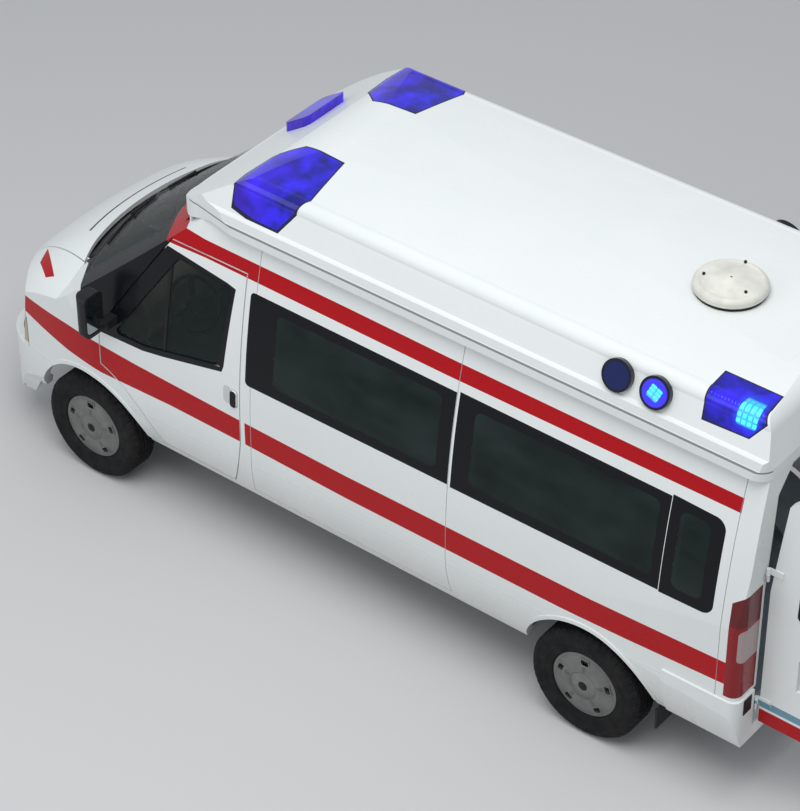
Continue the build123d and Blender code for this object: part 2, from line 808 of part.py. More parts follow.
def wheel_shapes(x):
    """A left wheel: the tyre, and the rim with its cover."""
    centre = track / 2
    half = tyre_width / 2
    bead = rim_radius - 6
    flange = bead + 16
    section = loop(
        (bead, -rim_half),
        (flange, -rim_half),
        (flange + 8, -rim_half - 16),
        (rim_radius + 60, -half),
        (tyre_radius - 45, -half),
        (tyre_radius - 14, -half + 14),
        (tyre_radius, -half + 34),
        (tyre_radius, half - 34),
        (tyre_radius - 14, half - 14),
        (tyre_radius - 45, half),
        (rim_radius + 60, half),
        (flange + 8, rim_half + 16),
        (flange, rim_half),
        (bead, rim_half),
    )
    tyre = revolve(Plane.XY * section, axis=Axis.Y)
    rim = turned(bead, -rim_half, rim_half, 0, 0)
    for low in (-rim_half - 8, rim_half):
        rim += turned(flange, low, low + 8, 0, 0)
    rim -= turned(bead - 12, -200, 200, 0, 0)
    disc_y = rim_half - 30
    rim += turned(bead - 6, disc_y - 10, disc_y, 0, 0)
    cover_y = rim_half + 8
    cover = turned(flange, cover_y - 6, cover_y, 0, 0)
    dome = Rot(-90, 0, 0) * Cone(flange, 130, 16, align=(Align.CENTER, Align.CENTER, Align.MIN))
    cover += Pos(0, cover_y, 0) * dome
    for i in range(5):
        slot = Pos(0, cover_y, 168) * Box(48, 60, 34)
        cover -= Rot(0, 72 * i, 0) * slot
    rim += cover + turned(60, disc_y - 1, cover_y, 0, 0)
    place = Pos(x, centre, tyre_radius)
    return place * tyre, place * rim


def knuckle_shape():
    """The left front upright: hub, leaning upright with its spring strut, and the track-rod arm."""
    disc_inner = track / 2 + rim_half - 40
    hub = turned(58, 745, disc_inner - 0.5, 0, tyre_radius)
    lean = Pos(0, kingpin_y, kingpin_z) * Rot(kingpin_lean, 0, 0)
    upright = lean * Pos(0, 0, 135) * Box(80, 56, 270)
    tube = lean * Pos(0, 0, 380) * Cylinder(27, 420)
    spring_seat = lean * Pos(0, 0, 430) * Cylinder(62, 14)
    arm = block(-165, 0, kingpin_y - 40, kingpin_y - 15, tyre_radius - 90, tyre_radius - 62)
    socket = Pos(0, kingpin_y, kingpin_z) * Sphere(ball_radius + seat)
    return hub + upright + tube + spring_seat + arm - socket


def rear_axle_shape():
    """The rear axle's tube, with its final drive, on two leaf springs."""
    reach = track / 2 + rim_half - 40.5
    tube = turned(axle_tube_radius, -reach, reach, -wheelbase, tyre_radius)
    drive = Pos(-wheelbase, 0, tyre_radius) * Sphere(150)
    shaft_run = Vector(-360 - 4 * seat + wheelbase, 0, 455 - tyre_radius)
    shaft_plane = Plane(origin=(-wheelbase, 0, tyre_radius), z_dir=shaft_run.normalized())
    axle = tube + drive + extrude(shaft_plane * Circle(32), amount=shaft_run.length)
    for y in (-rail_y, rail_y):
        spring = loop(
            (-wheelbase + 660, rail_base_z - 22),
            ((-wheelbase, tyre_radius - axle_tube_radius - 34), (-wheelbase - 660, rail_base_z - 22)),
            (-wheelbase - 660, rail_base_z),
            ((-wheelbase, tyre_radius - axle_tube_radius + 6), (-wheelbase + 660, rail_base_z)),
        )
        axle += side_prism(spring, y - 35, y + 35)
    return axle


def chassis_shape():
    """Two box rails under the floor, with crossmembers."""
    rail = block(-wheelbase - 880, -650, rail_y - 38, rail_y + 38, rail_base_z + 0.3, floor_underside - 0.3)
    front = block(-650, 700, 398, 470, rail_base_z + 0.3, floor_underside - 0.3)
    flap = block(-4224, -4212, 700, 930, 285, 432) + block(-4224, -4212, 590, 770, 400, 572)
    frame = rail + front + flap
    frame = frame + other_side(frame)
    frame += block(-2500, -1800, 590, 770, 345, 560)
    for x in (-650, -1700, -2700, -4560):
        frame += block(x - 35, x + 35, -rail_y, rail_y, rail_base_z + 20, floor_underside - 5)
    for x in (320, 660):
        frame += block(x - 35, x + 35, -400, 400, rail_base_z + 0.3, engine_base_z - 0.3)
    return frame


def front_subframe_shape():
    """The crossmember under the engine with the two lower arms."""
    beam = block(-90, 90, -470, 470, 230, 300)
    for y in (-1, 1):
        post = block(-60, 60, y * 398, y * 470, 300, rail_base_z)
        foot = block(-60, 60, y * 470, y * 640, 235, 262)
        arm = block(-34, 34, y * 640, y * (kingpin_y + 22), 205, kingpin_z - 17)
        ball = Pos(0, y * kingpin_y, kingpin_z) * Sphere(ball_radius)
        stub = Pos(0, y * kingpin_y, kingpin_z - 15) * Cylinder(8, 26)
        beam += post + foot + block(-34, 34, y * 600, y * 645, 205, 262) + arm + ball + stub
    return beam


def seat_shapes():
    """Two cab seats: plinths, cushions and backs."""
    plinths, cushions, backs = [], [], []
    for y in (-430, 400):
        plinths.append(block(-1120, -740, y - 200, y + 200, floor_underside + floor_thickness, 800))
        cushion = block(-1150, -680, y - 240, y + 240, 800.3, 900)
        cushions.append(fillet(cushion.edges(), 40))
        back = Pos(-1165, y, 1206) * Rot(0, -12, 0) * Box(120, 460, 620)
        back = fillet(back.edges(), 45)
        head = Pos(-1225, y, 1591) * Rot(0, -12, 0) * Box(90, 260, 170)
        head = fillet(head.edges(), 35)
        backs.append(back + head)
    return plinths, cushions, backs


def dashboard_shape():
    face = loop((59.7, 860), (59.7, 1255), ((-110, 1335), (-270, 1235)), (-300, 1080), (-190, 930), (-120, 860))
    return (side_prism(face, -700, 700) & hull(wall + 4)) + steering_column_shape()


def steering_wheel_shape():
    """The steering wheel, square to its column, with three spokes."""
    rim = Torus(steering_wheel_radius - 14, 14)
    boss = Cylinder(52, 44)
    wheel = rim + boss
    for turn in (90, 210, 330):
        wheel += Rot(0, 0, turn) * Pos((steering_wheel_radius - 14) / 2, 0, -4) * Box(steering_wheel_radius - 20, 34, 16)
    return steering_place * wheel


def steering_column_shape():
    return steering_place * Pos(0, 0, -22.5 - 130) * Cylinder(30, 260)


steering_place = Pos(steering_x, steering_wheel_y, steering_z) * Rot(0, -steering_rake, 0)


def pane_screen():
    return glass_skin & screen_zone(0)


def vent_shape():
    """The round roof ventilator with its domed lid."""
    section = loop(
        (0, 0),
        (vent_radius - 18, 0),
        (vent_radius - 18, 28),
        (vent_radius, 28),
        (vent_radius, 52),
        ((vent_radius - 10, 68), (vent_radius - 40, vent_height - 18)),
        (0, vent_height),
    )
    return Pos(vent_x, 0, vent_base_z) * revolve(Plane.XZ * section, axis=Axis.Z)


def main():
    os.makedirs("parts", exist_ok=True)
    panel, panel_pane = panel_shapes("front")
    sliding, sliding_pane = panel_shapes("sliding")
    door, door_pane = front_door_shapes()
    bonnet, lamp, grille, bumper = front_end_shapes()
    rear_door, rear_pane = rear_door_shapes()
    roof, roof_lamp, corner_lamp, side_lamps, centre_lamp = roof_shapes()
    tyre, rim = wheel_shapes(0)
    rear_tyre, rear_rim = wheel_shapes(-wheelbase)
    knuckle = knuckle_shape()
    mirror_body = mirror_shape()
    tail_lamp = tail_lamp_shape()
    door_hinges = rear_hinge_shapes()
    for name, flip in (("left", False), ("right", True)):
        def put(node, shape):
            save(node + "_" + name, other_side(shape) if flip else shape)
        put("body_side", body_side_shape("sliding" if flip else "front"))
        put("side_glass", side_glass_shape())
        put("front_door", door)
        put("front_door_glass", door_pane)
        put("door_mirror", mirror_body)
        put("wing", wing_shape())
        put("headlamp", lamp)
        put("rear_door", opened(rear_door))
        put("rear_door_glass", opened(rear_pane))
        put("knuckle", knuckle)
        put("front_tyre", tyre)
        put("front_wheel", rim)
        put("rear_tyre", rear_tyre)
        put("rear_wheel", rear_rim)
    save("side_panel_left", panel)
    save("sliding_door", other_side(sliding))
    save("panel_glass_left", panel_pane)
    save("sliding_door_glass", other_side(sliding_pane))
    save("cab_frame", cab_frame_shape())
    save("windscreen", pane_screen())
    save("rear_frame", rear_frame_shape())
    save("tail_lamps", both_sides(tail_lamp))
    save("rear_door_hinges", both_sides(Compound(door_hinges)))
    save("rear_bumper", rear_bumper_shape())
    save("front_bumper", bumper)
    save("grille", grille)
    save("bonnet", bonnet)
    save("raised_roof", roof)
    corner_lamps = both_sides(Compound(roof_lamp.solids() + corner_lamp.solids()))
    save("roof_lamps", Compound(corner_lamps.solids() + centre_lamp.solids()))
    save("side_lamps", both_sides(Compound([solid for shape in side_lamps for solid in shape.solids()])))
    save("roof_vent", vent_shape())
    save("floor", floor_shape())
    save("chassis", chassis_shape())
    save("rear_axle", rear_axle_shape())
    save("front_subframe", front_subframe_shape())
    save("engine", block(250, 750, -290, 290, engine_base_z, 930) + block(-360, 250, -110, 110, 440, 570))
    save("dashboard", dashboard_shape())
    save("steering_wheel", steering_wheel_shape())
    plinths, cushions, backs = seat_shapes()
    save("seat_plinths", Compound([solid for shape in plinths for solid in shape.solids()]))
    save("seat_cushions", Compound([solid for shape in cushions for solid in shape.solids()]))
    save("seat_backs", Compound([solid for shape in backs for solid in shape.solids()]))
    save("bulkhead", inner & block(-1330, -1300, -1200, 1200, floor_underside + floor_thickness, 2200))


if __name__ == "__main__":
    main()
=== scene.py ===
import math

import bmesh
import bpy
from mathutils import Matrix, Vector


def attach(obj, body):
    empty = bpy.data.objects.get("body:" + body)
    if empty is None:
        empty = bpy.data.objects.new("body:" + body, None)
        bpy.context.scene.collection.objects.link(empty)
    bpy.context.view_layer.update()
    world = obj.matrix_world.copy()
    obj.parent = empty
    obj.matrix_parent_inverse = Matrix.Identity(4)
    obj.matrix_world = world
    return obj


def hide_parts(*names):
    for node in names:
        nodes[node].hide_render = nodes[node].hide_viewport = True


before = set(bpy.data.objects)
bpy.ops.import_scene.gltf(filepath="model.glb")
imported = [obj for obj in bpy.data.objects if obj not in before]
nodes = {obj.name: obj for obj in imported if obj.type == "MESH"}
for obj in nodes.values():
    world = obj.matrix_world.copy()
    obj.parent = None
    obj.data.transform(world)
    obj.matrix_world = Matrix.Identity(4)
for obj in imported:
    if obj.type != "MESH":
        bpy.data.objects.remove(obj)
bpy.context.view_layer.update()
scene = bpy.context.scene

# Driving sizes in metres. X is measured from the front axle throughout, as in the CAD source; the shared
# frame has its origin under the vehicle's middle, and AXLE is the front axle's place in it.
AXLE = 2.3025
WHEELBASE = 3.75
TRACK_HALF = 0.868
TYRE_RADIUS = 0.3645
BEAD_RADIUS = 0.199
FLANGE_RADIUS = 0.215
SIDES = (("left", 1), ("right", -1))
WHEEL_ENDS = (("front", 0.0), ("rear", -WHEELBASE))

# Colours as linear red, green and blue
WHITE = (0.80, 0.82, 0.80)
DULL_WHITE = (0.72, 0.745, 0.735)
DUST = (0.42, 0.40, 0.36)
RED = (0.44, 0.001, 0.005)
BLACK = (0.005, 0.005, 0.007)
STEEL_BLUE = (0.16, 0.30, 0.40)
CYAN_LIGHT = (0.06, 0.85, 1.0)

# Stripe edges along the side: X, Z
LOWER_TOP = [(-4.75, 1.075), (-4.46, 1.066), (-3.80, 1.048), (-2.83, 1.043), (-2.06, 1.039), (-1.26, 1.052),
             (-0.43, 1.076), (0.13, 1.107), (0.62, 1.10)]
LOWER_BASE = [(-4.75, 0.922), (-4.48, 0.910), (-4.03, 0.890), (-3.57, 0.878), (-2.06, 0.873), (-1.26, 0.891),
              (-0.71, 0.895), (-0.14, 0.876), (0.14, 0.903), (0.62, 0.985)]
LOWER_ENDS = (-4.76, 0.60)
UPPER_TOP = [(-4.61, 2.107), (-2.70, 2.111), (-1.97, 2.120), (-0.93, 2.127), (-0.70, 2.150)]
UPPER_BASE = [(-4.61, 2.018), (-2.70, 2.006), (-1.50, 2.014), (-0.95, 2.019), (-0.70, 2.010)]
UPPER_REAR = -4.610

# The pressed line low along the side: X, Z, and the widths of its painted shade and its painted highlight
SWAGE = [(-4.573, 0.771), (-4.085, 0.761), (-1.67, 0.766), (-1.178, 0.731), (-0.483, 0.709)]
SWAGE_SHADE = 0.007
SWAGE_HIGHLIGHT = 0.010

# The side skin: Z, distance from the middle plane
SIDE_SECTION = [(0.44, 0.890), (0.61, 0.955), (0.90, 0.987), (1.13, 0.985), (1.35, 0.972), (1.50, 0.9557),
                (1.65, 0.9367), (1.87, 0.900), (2.05, 0.8637), (2.262, 0.812)]

# Front door: black window surround anticlockwise, the trim line's edges, and two rounded rectangles given as
# low X, high X, low Z, high Z, corner radius
SURROUND = [(-0.50, 1.205), (-0.05, 1.185), (-0.66, 1.985), (-1.123, 1.931), (-1.191, 1.915), (-1.137, 1.381),
            (-1.123, 1.337), (-0.668, 1.236)]
DOOR_TRIM = (-1.108, -0.60)
DOOR_TRIM_BASE = [(-1.108, 1.362), (-0.60, 1.351)]
DOOR_TRIM_TOP = [(-1.108, 1.374), (-0.60, 1.363)]
HANDLE_POCKET = (-1.200, -1.135, 1.135, 1.262, 0.028)
DOOR_HANDLE = (-1.246, -1.194, 1.132, 1.253, 0.02)

# Cab: the red header over the windscreen, and the black cowl's front edge as distance from the middle, X
HEADER_BASE = 2.012
HEADER_REAR = -0.98
COWL_BASE = 1.236
COWL_EDGE = [(0.60, 0.36), (0.70, 0.20), (0.734, 0.150), (0.854, 0.075), (0.93, 0.030), (0.975, -0.010)]

# The red wedge at each corner between bonnet and wing, anticlockwise: X, distance from the middle
WEDGE = [(0.640, 0.594), (0.587, 0.721), (0.422, 0.842), (0.350, 0.836)]

# The bonnet's slot: X at the middle, its sweep back with the square of Y, half its width and half its length
SLOT_X = 0.467
SLOT_SWEEP = 0.293
SLOT_HALF_WIDTH = 0.009
SLOT_HALF_LENGTH = 0.445

# Rear doors: heights of the red band's top and of the blue line, and the pane's clear part
REAR_BAND_TOP = 0.655
REAR_LINE = (0.672, 0.722)
REAR_PANE = (-5.372, -4.962, 1.402, 1.898, 0.09)

# Roof lamps: outlines anticlockwise, as X and distance from the middle in front and as X and Z at the rear
FRONT_LAMP = [(-1.535, 0.330), (-1.245, 0.310), (-1.106, 0.435), (-1.083, 0.640), (-1.125, 0.812),
              (-1.434, 0.835), (-1.560, 0.772), (-1.597, 0.700)]
FRONT_LAMP_BASE = 2.39
REAR_LAMP = [(-4.575, 2.462), (-4.298, 2.452), (-4.272, 2.70), (-4.560, 2.70), (-4.650, 2.560)]
REAR_LAMP_SIDE = 0.576
LIT_MODULE = (-4.605, -4.475, 2.500, 2.606, 0.02)
MODULE_HALO = (-4.64, -4.44, 2.47, 2.64, 0.06)

# Roof: the drip rail's painted shadow and a faint crease in painted shade from X, Y to X, Y
GUTTER = (2.312, 2.322)
GUTTER_SIDE = 0.80
ROOF_CREASE = [(-2.45, 0.17), (-1.16, 0.06)]

# Round side lamps: X of the front and the rear one, their height, and where the black rim starts
SIDE_LAMPS = (-3.770, -4.010)
SIDE_LAMP_Z = 2.489
SIDE_LAMP_RIM = 0.074

# Side windows: rear and front X of each clear part, and their shared base, top and corner radius
CLEAR_PANES = [(-2.692, -1.508), (-4.140, -2.920), (-4.462, -4.270)]
PANE_BASE = 1.400
PANE_TOP = 1.880
PANE_CORNER = 0.045

# Lamps: the tail lamp's clear segment, and the headlamp's bowls as distance from the middle, Z, radius
TAIL_SEGMENT = (-4.80, -4.712, 1.085, 1.315, 0.03)
BOWLS = ((0.560, 0.825, 0.070), (0.720, 0.850, 0.082))
HEADLAMP_CORNER = 0.850

# The softness of a painted edge
HAIRLINE = 0.0008


# Node helpers
class Paint:
    """A material under construction. Its maths calls take numbers or sockets."""

    def __init__(self, name):
        self.mat = bpy.data.materials.new(name)
        self.mat.use_nodes = True
        self.tree = self.mat.node_tree
        self.bsdf = self.tree.nodes["Principled BSDF"]

    def node(self, kind, **settings):
        made = self.tree.nodes.new(kind)
        for key, value in settings.items():
            setattr(made, key, value)
        return made

    def put(self, value, socket):
        if isinstance(value, bpy.types.NodeSocket):
            self.tree.links.new(value, socket)
        else:
            socket.default_value = value

    def set(self, **sockets):
        for key, value in sockets.items():
            self.put(value, self.bsdf.inputs[key.replace("_", " ")])

    def math(self, operation, a, b=0.0, clamp=False):
        made = self.node("ShaderNodeMath", operation=operation, use_clamp=clamp)
        self.put(a, made.inputs[0])
        self.put(b, made.inputs[1])
        return made.outputs[0]

    def plus(self, a, b):
        return self.math("ADD", a, b)

    def minus(self, a, b):
        return self.math("SUBTRACT", a, b)

    def times(self, a, b):
        return self.math("MULTIPLY", a, b)

    def unsigned(self, value):
        return self.math("ABSOLUTE", value)

    def reach(self, u, v):
        """The distance from the point where u and v are zero."""
        return self.math("SQRT", self.plus(self.times(u, u), self.times(v, v)))

    def ripple(self, value, rate):
        return self.math("SINE", self.times(value, rate))

    def place(self):
        """Object coordinates, which are the shared frame's metres at rest, with X from the front axle."""
        if not hasattr(self, "_place"):
            coordinates = self.node("ShaderNodeTexCoord").outputs["Object"]
            split = self.node("ShaderNodeSeparateXYZ")
            self.put(coordinates, split.inputs[0])
            x, y, z = split.outputs
            self._place = (coordinates, self.minus(x, AXLE), y, z)
        return self._place

    def noise(self, scale, detail=4.0, rough=0.55, stretch=None):
        made = self.node("ShaderNodeTexNoise")
        coordinates = self.place()[0]
        if stretch:
            mapping = self.node("ShaderNodeMapping")
            self.put(coordinates, mapping.inputs["Vector"])
            mapping.inputs["Scale"].default_value = stretch
            coordinates = mapping.outputs[0]
        self.put(coordinates, made.inputs["Vector"])
        made.inputs["Scale"].default_value = scale
        made.inputs["Detail"].default_value = detail
        made.inputs["Roughness"].default_value = rough
        return made.outputs["Fac"]

    def spread(self, value, low, high, to_low, to_high):
        """The value carried from one span to another, and held at the second one's ends."""
        made = self.node("ShaderNodeMapRange", clamp=True)
        self.put(value, made.inputs[0])
        for socket, number in zip(made.inputs[1:5], (low, high, to_low, to_high)):
            self.put(number, socket)
        return made.outputs[0]

    def above(self, value, edge, blur=HAIRLINE):
        """1 where the value is over the edge, with a hairline of softness."""
        return self.math("MULTIPLY", self.minus(value, edge), 1 / blur, clamp=True)

    def inside(self, value, low, high, blur=HAIRLINE):
        return self.both(self.above(value, low, blur), self.above(high, value, blur))

    def both(self, *masks):
        result = masks[0]
        for mask in masks[1:]:
            result = self.times(result, mask)
        return result

    def either(self, *masks):
        result = masks[0]
        for mask in masks[1:]:
            result = self.math("MAXIMUM", result, mask)
        return result

    def line(self, along, points):
        """A height that runs straight from point to point of a short list."""
        total = points[0][1]
        for (start, low), (end, high) in zip(points, points[1:]):
            total = self.plus(total, self.spread(along, start, end, 0.0, high - low))
        return total

    def outline(self, u, v, points, grow=0.0):
        """1 inside a convex outline given anticlockwise, grown outwards by a margin."""
        result = None
        for (u0, v0), (u1, v1) in zip(points, points[1:] + points[:1]):
            size = math.hypot(u1 - u0, v1 - v0)
            across = (-(v1 - v0) / size, (u1 - u0) / size)
            level = across[0] * u0 + across[1] * v0 - grow
            distance = self.minus(self.plus(self.times(u, across[0]), self.times(v, across[1])), level)
            mask = self.math("MULTIPLY", distance, 1 / HAIRLINE, clamp=True)
            result = mask if result is None else self.math("MINIMUM", result, mask)
        return result

    def rounded(self, u, v, low_u, high_u, low_v, high_v, radius, blur=0.0012):
        """1 inside a rectangle with round corners."""
        parts = []
        for value, low, high in ((u, low_u, high_u), (v, low_v, high_v)):
            off = self.unsigned(self.minus(value, (low + high) / 2))
            parts.append(self.math("MAXIMUM", self.minus(off, (high - low) / 2 - radius), 0.0))
        return self.math("MULTIPLY", self.minus(radius, self.reach(*parts)), 1 / blur, clamp=True)

    def mix(self, factor, a, b):
        made = self.node("ShaderNodeMix", data_type="RGBA")
        self.put(factor, made.inputs[0])
        for socket, colour in ((made.inputs[6], a), (made.inputs[7], b)):
            if isinstance(colour, tuple):
                socket.default_value = (*colour, 1.0)
            else:
                self.put(colour, socket)
        return made.outputs[2]

    def blend(self, factor, a, b):
        """A number that goes from a to b with the factor."""
        return self.spread(factor, 0.0, 1.0, a, b)

    def bump(self, height, strength, distance):
        made = self.node("ShaderNodeBump")
        made.inputs["Strength"].default_value = strength
        made.inputs["Distance"].default_value = distance
        self.put(height, made.inputs["Height"])
        self.put(made.outputs[0], self.bsdf.inputs["Normal"])

    def outward(self):
        """How far a face looks away from the middle plane: 1 on an upright side, 0 on top or in front."""
        geometry = self.node("ShaderNodeNewGeometry")
        split = self.node("ShaderNodeSeparateXYZ")
        self.put(geometry.outputs["True Normal"], split.inputs[0])
        return self.times(split.outputs[1], self.math("SIGN", self.place()[2]))


# Body paint. A function of marks takes the paint, the colour so far, X, Y, Z and the mask of the outer skin.
def white_paint(name, lower=False, upper=False, marks=None):
    """White body paint with red stripes, faint dust low down, painted shade and a painted highlight along the
    pressed line, and orange peel; marks paints more over it.
    """
    paint = Paint(name)
    _, x, y, z = paint.place()
    skin = paint.above(paint.outward(), 0.25, 0.05)
    cloud = paint.noise(2.3, 3.0)
    dust = paint.spread(z, 0.25, 0.75, 0.55, 0.0)
    colour = paint.mix(paint.spread(cloud, 0.35, 0.7, 0.0, 0.25), WHITE, DULL_WHITE)
    colour = paint.mix(paint.times(dust, paint.noise(9.0)), colour, DUST)
    if lower:
        stripe = paint.both(
            skin, paint.above(x, LOWER_ENDS[0]), paint.above(LOWER_ENDS[1], x),
            paint.inside(z, paint.line(x, LOWER_BASE), paint.line(x, LOWER_TOP)))
        colour = paint.mix(stripe, colour, RED)
    if upper:
        stripe = paint.both(
            skin, paint.above(x, UPPER_REAR),
            paint.inside(z, paint.line(x, UPPER_BASE), paint.line(x, UPPER_TOP)))
        colour = paint.mix(stripe, colour, RED)
    # Painted shade along the pressed line, with a painted highlight just above it
    if lower:
        level = paint.line(x, SWAGE)
        turn = paint.plus(level, SWAGE_SHADE)
        crease_painted_shade = paint.both(skin, paint.inside(z, level, turn, 0.004))
        crease_painted_highlight = paint.both(skin, paint.inside(z, turn, paint.plus(level, SWAGE_SHADE + SWAGE_HIGHLIGHT), 0.004))
        colour = paint.mix(paint.times(crease_painted_shade, 0.35), colour, (0.40, 0.42, 0.42))
        colour = paint.mix(paint.times(crease_painted_highlight, 0.5), colour, (0.93, 0.95, 0.95))
    if marks:
        colour = marks(paint, colour, x, y, z, skin)
    paint.set(
        Base_Color=colour, Roughness=paint.spread(cloud, 0.3, 0.7, 0.24, 0.34), Coat_Weight=0.05,
        Coat_Roughness=0.08, IOR=1.5, Specular_IOR_Level=0.2)
    paint.bump(paint.noise(420.0, 2.0), 0.05, 0.0004)
    return paint.mat


def door_marks(paint, colour, x, y, z, skin):
    """The front door's black window surround, its lower trim line, the handle, and painted shade in its
    pocket.
    """
    colour = paint.mix(paint.outline(x, z, SURROUND), colour, BLACK)
    trim = paint.both(
        paint.inside(x, *DOOR_TRIM),
        paint.inside(z, paint.line(x, DOOR_TRIM_BASE), paint.line(x, DOOR_TRIM_TOP)))
    colour = paint.mix(paint.both(skin, trim), colour, (0.18, 0.18, 0.18))
    # Painted shade in the recessed pocket behind the handle
    pocket_painted_shade = paint.rounded(x, z, *HANDLE_POCKET, 0.004)
    colour = paint.mix(paint.times(paint.both(skin, pocket_painted_shade), 0.55), colour, (0.42, 0.43, 0.43))
    handle = paint.rounded(x, z, *DOOR_HANDLE)
    return paint.mix(paint.both(skin, handle), colour, BLACK)


def cab_marks(paint, colour, x, y, z, skin):
    """The red header, and the black cowl and front pillars under it."""
    header = paint.both(paint.inside(z, HEADER_BASE, paint.line(x, UPPER_TOP)), paint.above(x, HEADER_REAR))
    colour = paint.mix(header, colour, RED)
    edge = paint.line(paint.unsigned(y), COWL_EDGE)
    pillar = paint.both(paint.inside(z, COWL_BASE, HEADER_BASE), paint.above(x, -1.0), paint.above(edge, x))
    return paint.mix(pillar, colour, BLACK)


def wing_marks(paint, colour, x, y, z, skin):
    """The red wedge beside the bonnet's front corner."""
    wedge = paint.both(paint.outline(x, paint.unsigned(y), WEDGE), paint.above(z, 1.15))
    return paint.mix(wedge, colour, RED)


def bonnet_marks(paint, colour, x, y, z, skin):
    """The long black slot across the bonnet."""
    middle = paint.minus(SLOT_X, paint.times(paint.times(y, y), SLOT_SWEEP))
    slot = paint.both(
        paint.above(SLOT_HALF_WIDTH, paint.unsigned(paint.minus(x, middle))),
        paint.above(SLOT_HALF_LENGTH, paint.unsigned(y)))
    return paint.mix(slot, colour, BLACK)


def rear_door_marks(paint, colour, x, y, z, skin):
    """The rear door's red band with the blue-grey line above it."""
    face = paint.above(paint.outward(), 0.5, 0.05)
    colour = paint.mix(paint.times(paint.above(REAR_BAND_TOP, z), face), colour, RED)
    return paint.mix(paint.times(paint.inside(z, *REAR_LINE), face), colour, STEEL_BLUE)


def roof_marks(paint, colour, x, y, z, skin):
    """Dark seals round the lamps, the drip rail's painted shadow and painted shade along a faint crease in
    the roof.
    """
    away = paint.unsigned(y)
    front = paint.both(paint.outline(x, away, FRONT_LAMP, 0.010), paint.above(z, FRONT_LAMP_BASE))
    rear = paint.both(paint.outline(x, z, REAR_LAMP, 0.009), paint.above(away, REAR_LAMP_SIDE))
    colour = paint.mix(paint.either(front, rear), colour, (0.02, 0.02, 0.05))
    drip_rail_painted_shadow = paint.both(paint.inside(z, *GUTTER), paint.above(away, GUTTER_SIDE))
    colour = paint.mix(drip_rail_painted_shadow, colour, (0.20, 0.20, 0.19))
    # Painted shade along a faint crease in the roof
    off_crease = paint.unsigned(paint.minus(y, paint.line(x, ROOF_CREASE)))
    crease_painted_shade = paint.both(
        paint.above(0.003, off_crease, 0.003), paint.inside(x, ROOF_CREASE[0][0], ROOF_CREASE[1][0]))
    return paint.mix(paint.times(crease_painted_shade, 0.12), colour, (0.5, 0.5, 0.5))


# Other materials
def plain(name, colour, rough, metal=0.0, vary=0.25):
    """A moulded or painted surface with uneven colour and fine grain."""
    paint = Paint(name)
    cloud = paint.noise(7.0)
    darker = tuple(channel * (1 - vary) for channel in colour)
    mixed = paint.mix(paint.spread(cloud, 0.3, 0.7, 0.0, 1.0), darker, colour)
    paint.set(
        Base_Color=mixed,
        Roughness=paint.spread(paint.noise(40.0), 0.3, 0.7, rough * 0.85, min(rough * 1.15, 1.0)),
        Metallic=metal, Specular_IOR_Level=0.25)
    paint.bump(paint.noise(300.0, 3.0), 0.1, 0.0005)
    return paint.mat


def side_window(name):
    """Tinted glass whose printed border is opaque black."""
    paint = Paint(name)
    _, x, _, z = paint.place()
    clear = paint.either(*[
        paint.rounded(x, z, rear, front, PANE_BASE, PANE_TOP, PANE_CORNER) for rear, front in CLEAR_PANES])
    streaks = paint.noise(2.2, 3.0, stretch=(1.0, 1.0, 2.0))
    tint = paint.mix(paint.spread(streaks, 0.35, 0.7, 0.0, 1.0), (0.005, 0.011, 0.010), (0.018, 0.032, 0.029))
    paint.set(
        Base_Color=paint.mix(clear, BLACK, tint), Roughness=paint.blend(clear, 0.12, 0.05),
        Alpha=paint.blend(clear, 1.0, 0.84), Specular_IOR_Level=0.18, IOR=1.5)
    return paint.mat


def clear_glass(name, tint, opacity, border=None):
    """Window glass: a glossy tinted film that lets some of the inside through."""
    paint = Paint(name)
    streaks = paint.noise(3.0, 3.0, stretch=(1.0, 1.0, 3.0))
    colour = (*tint, 1.0)
    alpha = opacity
    if border:
        mask = border(paint)
        colour = paint.mix(mask, tint, BLACK)
        alpha = paint.blend(mask, opacity, 1.0)
    paint.set(
        Base_Color=colour, Roughness=paint.spread(streaks, 0.3, 0.7, 0.03, 0.08), Alpha=alpha,
        Specular_IOR_Level=0.18, IOR=1.5)
    return paint.mat


def rear_pane_border(paint):
    """The rear door window's black border: the door hangs open, so its width runs along X."""
    _, x, _, z = paint.place()
    return paint.minus(1.0, paint.rounded(x, z, *REAR_PANE))


def tail_lens(name):
    """Red lens with a clear middle segment and fine level ribs."""
    paint = Paint(name)
    _, x, y, z = paint.place()
    clear = paint.both(paint.above(paint.unsigned(y), 0.80), paint.rounded(x, z, *TAIL_SEGMENT))
    dark = paint.above(z, 1.33, 0.01)
    colour = paint.mix(dark, (0.26, 0.002, 0.006), (0.13, 0.002, 0.005))
    colour = paint.mix(clear, colour, (0.42, 0.33, 0.32))
    paint.set(
        Base_Color=colour, Roughness=0.14, Coat_Weight=0.3, Coat_Roughness=0.04, IOR=1.5,
        Specular_IOR_Level=0.25)
    paint.bump(paint.ripple(z, 900.0), 0.15, 0.001)
    return paint.mat


